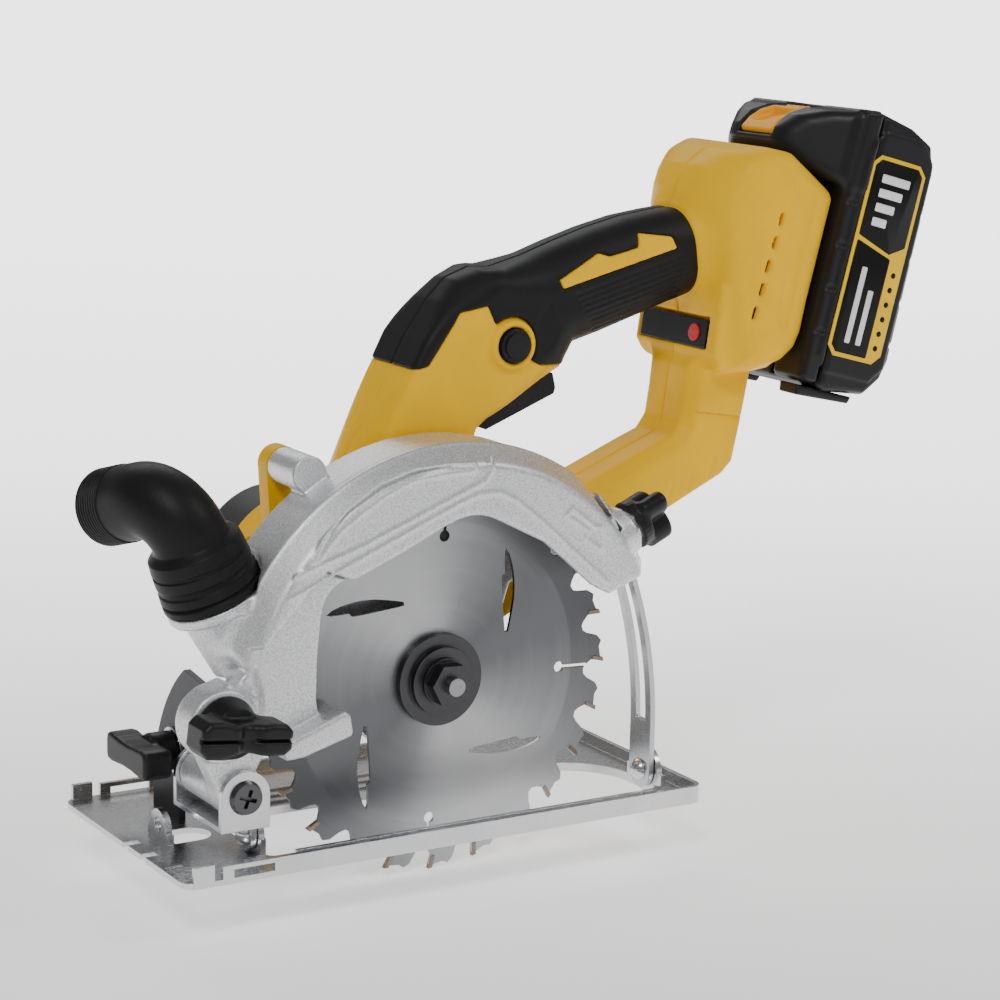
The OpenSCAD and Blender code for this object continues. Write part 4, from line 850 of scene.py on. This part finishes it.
def guard():
    f = Field((-108, -28, -22), (84, 24, 94), 0.62)
    far = np.hypot(f.x + 1, f.z + 1)
    rim = 87 - 6 * np.clip((-12 - f.y) / 8.5, 0, 1)
    # Lip round the rim, standing up over the sloping shoulder
    lip = 1.0 * blend_step(f.y, -12.6, -11.4) * (1 - blend_step(f.y, -9.6, -8.4))
    arch = both(far - rim - 0.5 * lip, np.abs(f.y + 4.25) - 16.25, 1.6)
    arch = both(arch, f.outline(GUARD_AREA), 2.0)
    front = [(-74, -100), (-74, 30), (-78, 30), (-100, 70), (-120, 70), (-120, -100)]
    arch = cut(arch, f.outline(front), 2.0)
    arch = cut(arch, f.slab(LEG, -40, -16.5, 0.5), 2.0)
    hollow = np.maximum(far - 80, -71.6 - f.x)
    space = f.prism(np.maximum(hollow, -f.outline(LEG)), -18, 9.5, 0.5)
    space = join(space, f.prism(hollow, -14, 9.5, 0.5))
    space = join(space, f.slab(GUARD_MOUTH, -24, 9.5, 0.3))
    space = join(space, f.slab([(27, -5), (84, 39), (104, 30), (104, -5)], 8, 14, 0.2))
    d = cut(arch, space, 1.0)
    # Front lug: pad for the knob, web down to the pivot's barrel, webs back to the leg
    pad = f.prism(np.hypot(f.x - PAD[0], f.z - PAD[1]) - 12.5, -26, -13, 1.2)
    rise = [(-97, 28.4), (-88, 30), (-78.4, 22), (-80, 10), (-92, 8)]
    pad = join(pad, f.slab(rise, -24, -13, 1.2), 1.0)
    web = f.slab(link(PAD, 9, (-88, -11), 7.2), -19.5, -10, 1.0)
    barrel = f.pin(-88, -11, -19.5, 12.8, 8.0)
    lug = join(join(pad, web, 2.5), barrel, 2.5)
    near_web = [(-93, 20), (-73, 31), (-71.8, 4), (-80, -5)]
    lug = join(lug, f.slab(near_web, -15.5, -9, 0.8), 3.0)
    low_web = [(-77, 12), (-71.8, 22), (-71.8, 4), (-79, -4), (-83, -6)]
    lug = join(lug, f.slab(low_web, -15, 11, 0.8), 2.0)
    shelf = [(-73.5, 3), (-72, -2.6), (-66, -3.4), (-47, -1.4), (-46, 0), (-46, 6.4), (-48, 8), (-64, 5)]
    shelf = f.slab(shelf, -24, 5.5, 1.4)
    notch = [(-62, -10), (-62, 20), (-40, 20), (-40, -10)]
    shelf = cut(shelf, f.slab(notch, -4, 12, 1.0), 1.0)
    d = join(join(d, lug, 3.0), shelf, 1.6)
    # Duct up to the elbow, with its collar
    duct = f.rod(up(-27), up(-3), 10.5, 14)
    collar = f.rod(up(-4), up(-0.2), 17.4)
    d = join(join(d, duct, 4.0), collar, 2.4)
    # Boss for the housing's screw and seat for the depth knob
    d = join(d, f.pin(*EAR, 2, 22, 6.4), 2.0)
    d = join(d, f.rod(out(167.5), out(173.2), 9.0), 1.6)
    # Raised lines cast on the face
    rib = [(-50.2, 61.0), (-45.9, 67.2), (-35.1, 75.7), (-21.8, 81), (-8, 82.6), (6.5, 80.8),
           (15.2, 78.8), (14.7, 76.2), (6.0, 77.6), (-8.5, 79.0), (-18.6, 76.9), (-28.8, 73.2),
           (-39.0, 68.6), (-48.9, 60.6), (-50.2, 61.0)]
    border = [(-57.5, 57.8), (-30.6, 61.6), (4.8, 69.1), (18.6, 71.8), (21.6, 75), (21.6, 80.0)]
    band = [(-60, 51.0), (-31.2, 57.8), (7.4, 66.6), (15.5, 67.7), (23.5, 66.3), (29.0, 62.4),
            (37.9, 52.8), (62.5, 22.5)]
    arrow = [(51.2, 53.3), (48.9, 51.2), (56.8, 43.6), (55.4, 41.2), (61.5, 34.7), (61.9, 43.4),
             (59.4, 44.6), (51.2, 53.3)]
    for line in (rib, border, band, arrow):
        d = join(d, f.bead(line, GUARD_FACE + 0.1, 0.62), 0.7)
    # Openings for duct, spindle, pivot screw, stud, strap and screw
    d = cut(d, f.rod(up(-29), up(-3), 8, 11.5), 0.5)
    d = cut(d, f.rod(up(-8), up(6), 11.5), 0.6)
    d = cut(d, f.rod(up(-0.2), up(24), 18.6), 0.8)
    d = cut(d, f.pin(0, 0, 6, 14, 15), 0.4)
    d = cut(d, f.pin(-88, -11, -40, 40, 5.1), 0.3)
    d = cut(d, f.pin(*PAD, -28, -12, 3.1), 0.3)
    turn = np.degrees(np.arctan2(f.z + 11, f.x + 88))
    from_pivot = np.hypot(f.x + 88, f.z + 11)
    strap = np.maximum(np.abs(from_pivot - 166.3) - 1.8, np.abs(f.y + 11) - 7.2)
    strap = np.maximum(strap, (np.abs(turn - 9.5) - 21.5) * 2.9)
    d = cut(d, strap, 0.2)
    d = cut(d, f.rod(out(153), out(165), 6.6), 0.3)
    d = cut(d, f.rod(out(150), out(190), 3.1), 0.3)
    d = cut(d, f.pin(*EAR, 8, 24, 2.1), 0.3)
    piece = moulded("guard", f, d, "cast", "saw_body", rounds=1, keep=0.6)
    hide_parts("blade_guard")


def elbow():
    place = BODY @ lean(SPIGOT, SPIGOT_LEAN) @ Matrix.Translation((0, 0, 0.3))
    place = place @ Matrix.Rotation(math.radians(107), 4, "Z")
    bend, rise, tail = 14.5, 21.0, 20.5
    sweep = math.radians(100)
    length = rise + bend * sweep + tail

    def ring(s, r):
        """Ring of radius r at a distance s up the elbow's middle line."""
        if s <= rise:
            return (0, 0, s), (0, 0, 1), r
        t = min((s - rise) / bend, sweep)
        more = max(0.0, s - rise - bend * sweep)
        x = bend - bend * math.cos(t) + more * math.sin(t)
        z = rise + bend * math.sin(t) + more * math.cos(t)
        return (x, 0, z), (math.sin(t), 0, math.cos(t)), r

    # Thin flange at the foot, three bands up the collar, fine ribs round the outlet
    outside = [(0, 14.2), (0, 17.2), (0.4, 17.7), (2.2, 17.7), (2.6, 17.3), (3.0, 16.7), (3.4, 16.9),
               (3.9, 17.6), (6.6, 17.3), (7.2, 16.6), (8.6, 16.2), (9.2, 16.5), (9.6, 17.1),
               (13, 16.9), (13.4, 16.3), (14.2, 16.2), (14.6, 16.8), (18.6, 16.3), (19.3, 15.6),
               (20.2, 14.0), (21, 13.3)]
    start = length - 12.4
    plain = int((start - 21) / 1.6)
    outside += [(21 + 1.6 * i, 13.1) for i in range(1, plain)]
    for i in range(8):
        foot = start + 1.4 * i
        outside += [(foot, 13.1), (foot + 0.35, 13.5), (foot + 0.85, 13.5), (foot + 1.15, 13.1)]
    outside += [(length - 0.8, 13.5), (length - 0.2, 13.3), (length, 12.8)]
    inside = [(length, 11.6), (length - 0.6, 11.1)] + [(length - 2 * i, 10.8) for i in range(1, 29)]
    inside += [(9.2, 10.8), (8.6, 14.2)]
    rings = [ring(s, r) for s, r in outside + inside]
    piece = tube("elbow", rings, "elbow", "dust_outlet", place, 64, smooth=28)
    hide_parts("dust_elbow")


guard()
elbow()

# ---------------------------------------------------------------- clamp knobs


def front_knob():
    f = Field((-112, -45, -2), (-73, -25.5, 36), 0.42)
    a = math.radians(-16)
    u = (f.x - PAD[0]) * math.cos(a) + (f.z - PAD[1]) * math.sin(a)
    w = -(f.x - PAD[0]) * math.sin(a) + (f.z - PAD[1]) * math.cos(a)
    edge = [(-16.4, -3.6), (-14, -6.2), (-9, -6.4), (-3, -4.8), (3, -4.8), (9, -5.6), (14, -5.2), (16.4, -3)]
    bar = edge + [(x, -y) for x, y in reversed(edge)]
    top = -43.8 + 2.4 * blend_step(-np.abs(u - 1), -5, -1)
    wing = f.outline(bar, (u, w))
    d = both(wing, np.maximum(top - f.y, f.y + 30), 2.2)
    hub = f.rod((PAD[0], -34, PAD[1]), (PAD[0], -26.2, PAD[1]), 8.4, 11.0)
    d = join(d, hub, 2.0)
    # Groove along the wing, cut twice so that its edges are rounder
    groove = f.prism(np.abs(w) - 0.35, -50, -41.6, 0.1)
    d = cut(cut(d, groove, 0.6), groove, 0.6)
    d = cut(d, f.pin(*PAD, -37, -25, 3.1), 0.2)
    piece = moulded("front_knob_wing", f, d, "knob", "front_clamp", keep=0.6)
    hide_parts("front_knob")


def bevel_knob():
    cy, cz = 31.48, 26.913
    f = Field((-107, 12, 18), (-85, 51, 36), 0.42)
    edge = [(-16.4, -3), (-15.6, -4.8), (-12, -5.2), (-4, -4.4)]
    edge += [(-x, y) for x, y in reversed(edge)]
    bar = edge + [(x, -y) for x, y in reversed(edge)]
    y, z = f.y - cy, f.z - cz
    wing = f.outline(bar, (y, z))
    d = both(wing, np.maximum(-104.9 - f.x, f.x + 94), 1.8)
    # Finger notches along the wing's edges
    for s in (-1, 1):
        for k in (-10.5, -7.5, 7.5, 10.5):
            d = cut(d, np.hypot(y - k, z - s * 5.9) - 1.1, 0.5)
    hub = f.rod((-96, cy, cz), (-87.7, cy, cz), 7.0)
    d = join(d, hub, 1.6)
    d = cut(d, f.rod((-97, cy, cz), (-86, cy, cz), 3.1), 0.2)
    piece = moulded("bevel_knob_wing", f, d, "knob", "bevel_clamp", place=LEVEL, keep=0.6)
    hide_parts("bevel_knob")


def depth_knob():
    place = BODY @ lean(HINGE, 90 - STUD_RISE)
    f = Field((-13, -13, 173), (13, 13, 191), 0.42)
    r, a = np.hypot(f.x, f.y), np.arctan2(f.y, f.x)
    base = f.rod((0, 0, 174.9), (0, 0, 179.5), 9.6, 8.6)
    lobes = (r - (7.7 + 3.4 * np.cos(3 * a + 0.6))) * 0.72
    wing = both(lobes, np.abs(f.z - 183.2) - 5.6, 2.4)
    d = join(both(base, r - 9.4, 0.8), wing, 1.6)
    # Ring of fine grips round the base
    band = blend_step(r, 8.2, 8.8) * blend_step(-np.abs(f.z - 176.6), -1.6, -1.2)
    d = d + 0.18 * (0.5 + 0.5 * np.cos(30 * a)) * band
    d = cut(d, f.rod((0, 0, 172), (0, 0, 187), 3.0), 0.2)
    piece = moulded("depth_knob_wing", f, d, "knob", "depth_clamp", place=place, keep=0.6)
    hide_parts("depth_knob")


front_knob()
bevel_knob()
depth_knob()

# ---------------------------------------------------------------- battery
# Drawn on its seat: X up along the seat, Z from the battery's back towards the tool.

SEATED = BODY @ Matrix.Rotation(-SEAT, 4, "Y")
PLATEAU = [
    (142, 126.4), (217.5, 126.4), (224, 128.5), (227.8, 133), (227.8, 150.5), (221, 157.4),
    (143, 157.4), (137, 152), (137, 131),
]


def box(f, u0, u1, v0, v1, y0, y1):
    """Box between two places each along the seat, out of it and across it."""
    return f.slab([(u0, v0), (u1, v0), (u1, v1), (u0, v1)], y0, y1, 0.2, (f.x, -f.z))


def battery():
    f = Field((124, -9, -163.4), (237, 69, -97), 0.56)
    v = -f.z
    flat = (f.x, v)
    side = np.abs(f.y - MID)
    ends = (-7.5, 67.5)
    # The sides step down round a raised eight-sided panel
    step = 0.8 * blend_step(f.outline(PLATEAU, flat), 0, 0.9) * blend_step(side, 33.5, 35.5)
    case_line = [(131, 129.7), (129.2, 134), (131.5, 153), (138.5, 159), (146, 160.9), (218, 159.9),
                 (228.3, 156.2), (232.3, 146), (234.6, 129.7)]
    case = f.slab(case_line, *ends, 2.6, flat) + step
    inner = [(134.5, 120), (134.5, 153), (141, 157), (226, 157), (229.5, 146), (230.8, 120)]
    case = cut(case, f.slab(inner, -4.3, 64.3, 0.5, flat))
    for u in (151, 167.5, 184, 201):
        case = cut(case, box(f, u, u + 2.0, 159.3, 170, -10, 70), 0.5)
        for y0, y1 in ((-10, -5.9), (65.9, 70)):
            case = cut(case, box(f, u, u + 1.6, 157.6, 166, y0, y1), 0.4)
    piece = moulded("battery_tub", f, case, "battery", "battery", place=SEATED)
    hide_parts("battery_case")

    plate_line = [(131.2, 123.6), (133, 121.4), (233.4, 121.4), (234.4, 129.4), (131.2, 129.4)]
    cover = f.slab(plate_line, *ends, 1.0, flat)
    tower = [(204.2, 124), (204.2, 121.4), (208.6, 108), (212.6, 101.2), (216, 99.6), (221, 100.6),
             (227, 105), (230.8, 112), (233.2, 121), (234.4, 129.4), (205, 129.4)]
    tower = f.slab(tower, *ends, 1.6, flat)
    for chamfer in ((113.6 - v - f.y) * DIAGONAL, (53.6 + f.y - v) * DIAGONAL):
        tower = both(tower, chamfer, 4.0)
    cover = join(cover, tower, 2.5) + step
    for u in (150, 166.5, 183, 199.2):
        for y0, y1 in ((-10, -5.8), (65.8, 70)):
            cover = cut(cover, box(f, u, u + 1.4, 118, 126.4, y0, y1), 0.4)
    # Rail channel, contact slots, latch pocket and the hollow above the cells
    cover = cut(cover, box(f, 115, 200.4, 116, 124.2, 11.7, 48.3), 0.3)
    cover = cut(cover, box(f, 115, 200.4, 124.2, 127.8, 7.7, 52.3), 0.3)
    for y in (20, 30, 40):
        cover = cut(cover, box(f, 115, 196.6, 126, 134, y - 1, y + 1), 0.2)
    cover = cut(cover, box(f, 217.6, 245, 90, 128.2, 19.6, 40.4), 0.8)
    piece = moulded("battery_lid", f, cover, "battery", "battery", place=SEATED)
    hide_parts("battery_cover")

    g = Field((216, 18, -125), (236, 42, -98), 0.34)
    flat = (g.x, -g.z)
    outline = [(218, 101.4), (219.6, 100.4), (224, 103.2), (227.8, 107.4), (230.6, 113), (232.4, 123.6),
               (218, 123.6)]
    latch = g.slab(outline, 20, 40, 1.0, flat)
    # Finger scoop in front of a ridged button
    scoop = [(222, 103), (244, 103), (244, 112.4), (227, 112.4)]
    latch = cut(latch, g.slab(scoop, 22.4, 37.6, 1.2, flat), 1.0)
    for k in range(3):
        a = (231.2 + 0.37 * k, 26, -(115.6 + 2.2 * k))
        latch = join(latch, g.rod(a, (a[0], 34, a[2]), 0.55, flat=False), 0.4)
    piece = moulded("battery_release", g, latch, "latch", "battery_release", place=SEATED, rounds=1)
    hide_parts("battery_latch")

    h = Field((124.5, -5, -150), (132, 65, -119), 0.45)
    foot = 1e9
    line = [(125.9, 123), (129.8, 122.2), (129.8, 149), (127, 148)]
    for y0 in (-4.0, 52.8):
        bar = h.slab(line, y0, y0 + 11.2, 0.8, (h.x, -h.z))
        foot = np.minimum(foot, bar)
    piece = moulded("battery_feet", h, foot, "battery", "battery", place=SEATED, rounds=1)
    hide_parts("battery_bumper")


def flat_label(name, outline, y, thick, mat):
    piece = plate(name, [outline], y, y + thick, 0.05, mat, "battery", place=SEATED,
                  turn=lambda a, b, c: (a, c, -b))
    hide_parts("battery_label")


def white_bar(name, u, v, wide, high):
    bar = [(u, v), (u + wide, v), (u + wide, v + high), (u, v + high)]
    flat_label(name, rounded(bar, 0.6), -8.06, 0.06, "label_white")


def battery_label():
    border = [(219.4, 132), (216, 128.6), (147, 128.6), (143.4, 132), (143.4, 151), (147, 154.6),
              (216, 154.6), (219.4, 151)]
    flat_label("label_border", border, -7.86, 0.34, "label")
    upper = [(217.9, 132.6), (215.4, 130.1), (189.2, 130.1), (184.6, 146.4), (188.4, 153.1),
             (215.4, 153.1), (217.9, 150.6)]
    lower = [(187.4, 130.1), (182.9, 147.6), (145, 147.6), (145, 132.6), (147.5, 130.1)]
    flat_label("label_upper", rounded(upper, 0.8), -7.98, 0.1, "label_black")
    flat_label("label_lower", rounded(lower, 0.8), -7.98, 0.1, "label_black")
    # Plain bars in place of lettering: a charge gauge above, two stripes below
    for i in range(4):
        white_bar("label_gauge_%d" % (i + 1), 193.5 + 5.4 * i, 134.5, 3.2, 7 + 2.2 * i)
    for i, wide in enumerate((29, 21)):
        white_bar("label_stripe_%d" % (i + 1), 149, 135.5 + 5.4 * i, wide, 2.6)
    for i in range(6):
        dot = arc(149.5 + 5.6 * i, 151.0, 1.1, 0, 330, 11)
        flat_label("label_dot_%d" % (i + 1), dot, -7.98, 0.08, "label_black")


battery()
battery_label()

# ---------------------------------------------------------------- camera, floor and lights


def camera():
    data = bpy.data.cameras.new("camera")
    obj = bpy.data.objects.new("camera", data)
    bpy.context.collection.objects.link(obj)
    azimuth, elevation, roll = (math.radians(a) for a in (-31.575, 11.73, 1.292))
    back = Vector((
        math.sin(azimuth) * math.cos(elevation),
        -math.cos(azimuth) * math.cos(elevation),
        math.sin(elevation),
    ))
    right = Vector((math.cos(azimuth), math.sin(azimuth), 0))
    up = back.cross(right)
    turned = right * math.cos(roll) + up * math.sin(roll)
    upward = up * math.cos(roll) - right * math.sin(roll)
    facing = Matrix((turned, upward, back)).transposed().to_4x4()
    obj.matrix_world = Matrix.Translation((-0.4801, -0.8215, 0.3116)) @ facing
    data.lens = 100.75
    data.sensor_width = 36
    data.clip_start, data.clip_end = 0.05, 20
    bpy.context.scene.camera = obj


def area_light(name, place, target, size, watts):
    data = bpy.data.lights.new(name, "AREA")
    data.shape = "RECTANGLE"
    data.size, data.size_y = size
    data.energy = watts
    obj = bpy.data.objects.new(name, data)
    obj.location = place
    obj.rotation_mode = "QUATERNION"
    obj.rotation_quaternion = (Vector(place) - Vector(target)).to_track_quat("Z", "Y")
    bpy.context.collection.objects.link(obj)


def stage():
    mesh = bpy.data.meshes.new("floor")
    reach = 30.0
    z = CAD_BOX[0].z - 0.0005
    corners = [(x * reach, y * reach, z) for x, y in ((-1, -1), (1, -1), (1, 1), (-1, 1))]
    mesh.from_pydata(corners, [], [(0, 1, 2, 3)])
    floor = bpy.data.objects.new("floor", mesh)
    bpy.context.collection.objects.link(floor)
    mat, nodes, links, bsdf = new_material("floor_white")
    at = coords(nodes, links)
    links.new(
        ramp(nodes, links, noise(nodes, links, at, 3.0), [(0, (0.86, 0.86, 0.86)), (1, (0.9, 0.9, 0.9))]),
        bsdf.inputs["Base Color"],
    )
    bsdf.inputs["Roughness"].default_value = 0.7
    # Lit paper sweep: brighter behind the saw, dimmer in front of it
    split = nodes.new("ShaderNodeSeparateXYZ")
    links.new(at, split.inputs[0])
    behind = maths(nodes, links, "MULTIPLY_ADD", split.outputs["X"], 0.6, split.outputs["Y"])
    glow = ramp(nodes, links, spread(nodes, links, behind, 0.0, 1.0, -0.5, 2.5), [
        (0.0, (0.14, 0.14, 0.14)), (0.1, (0.18, 0.18, 0.18)), (0.2, (0.28, 0.28, 0.28)),
        (0.45, (0.7, 0.7, 0.7)), (1.0, (1, 1, 1)),
    ])
    bsdf.inputs["Emission Strength"].default_value = 3.0
    links.new(glow, bsdf.inputs["Emission Color"])
    mesh.materials.append(mat)
    world = bpy.data.worlds.new("studio")
    world.use_nodes = True
    nodes, links = world.node_tree.nodes, world.node_tree.links
    bg = nodes["Background"]
    # Soft light from above, dimmer low down
    sky = nodes.new("ShaderNodeTexCoord")
    split = nodes.new("ShaderNodeSeparateXYZ")
    links.new(sky.outputs["Generated"], split.inputs[0])
    links.new(
        ramp(nodes, links, split.outputs["Z"], [
            (0.0, (0.4, 0.4, 0.4)), (0.2, (0.6, 0.6, 0.6)), (0.6, (1, 1, 1)), (1.0, (1, 1, 1)),
        ]),
        bg.inputs[0],
    )
    bg.inputs[1].default_value = 0.32
    bpy.context.scene.world = world
    middle = (0.03, 0.03, 0.09)
    area_light("key", (-0.95, -1.05, 1.5), middle, (0.45, 0.45), 14)
    area_light("side", (1.05, -1.05, 1.4), middle, (0.4, 0.4), 7.5)
    area_light("rim", (0.4, 1.4, 1.2), middle, (1.2, 0.5), 6)


camera()
stage()
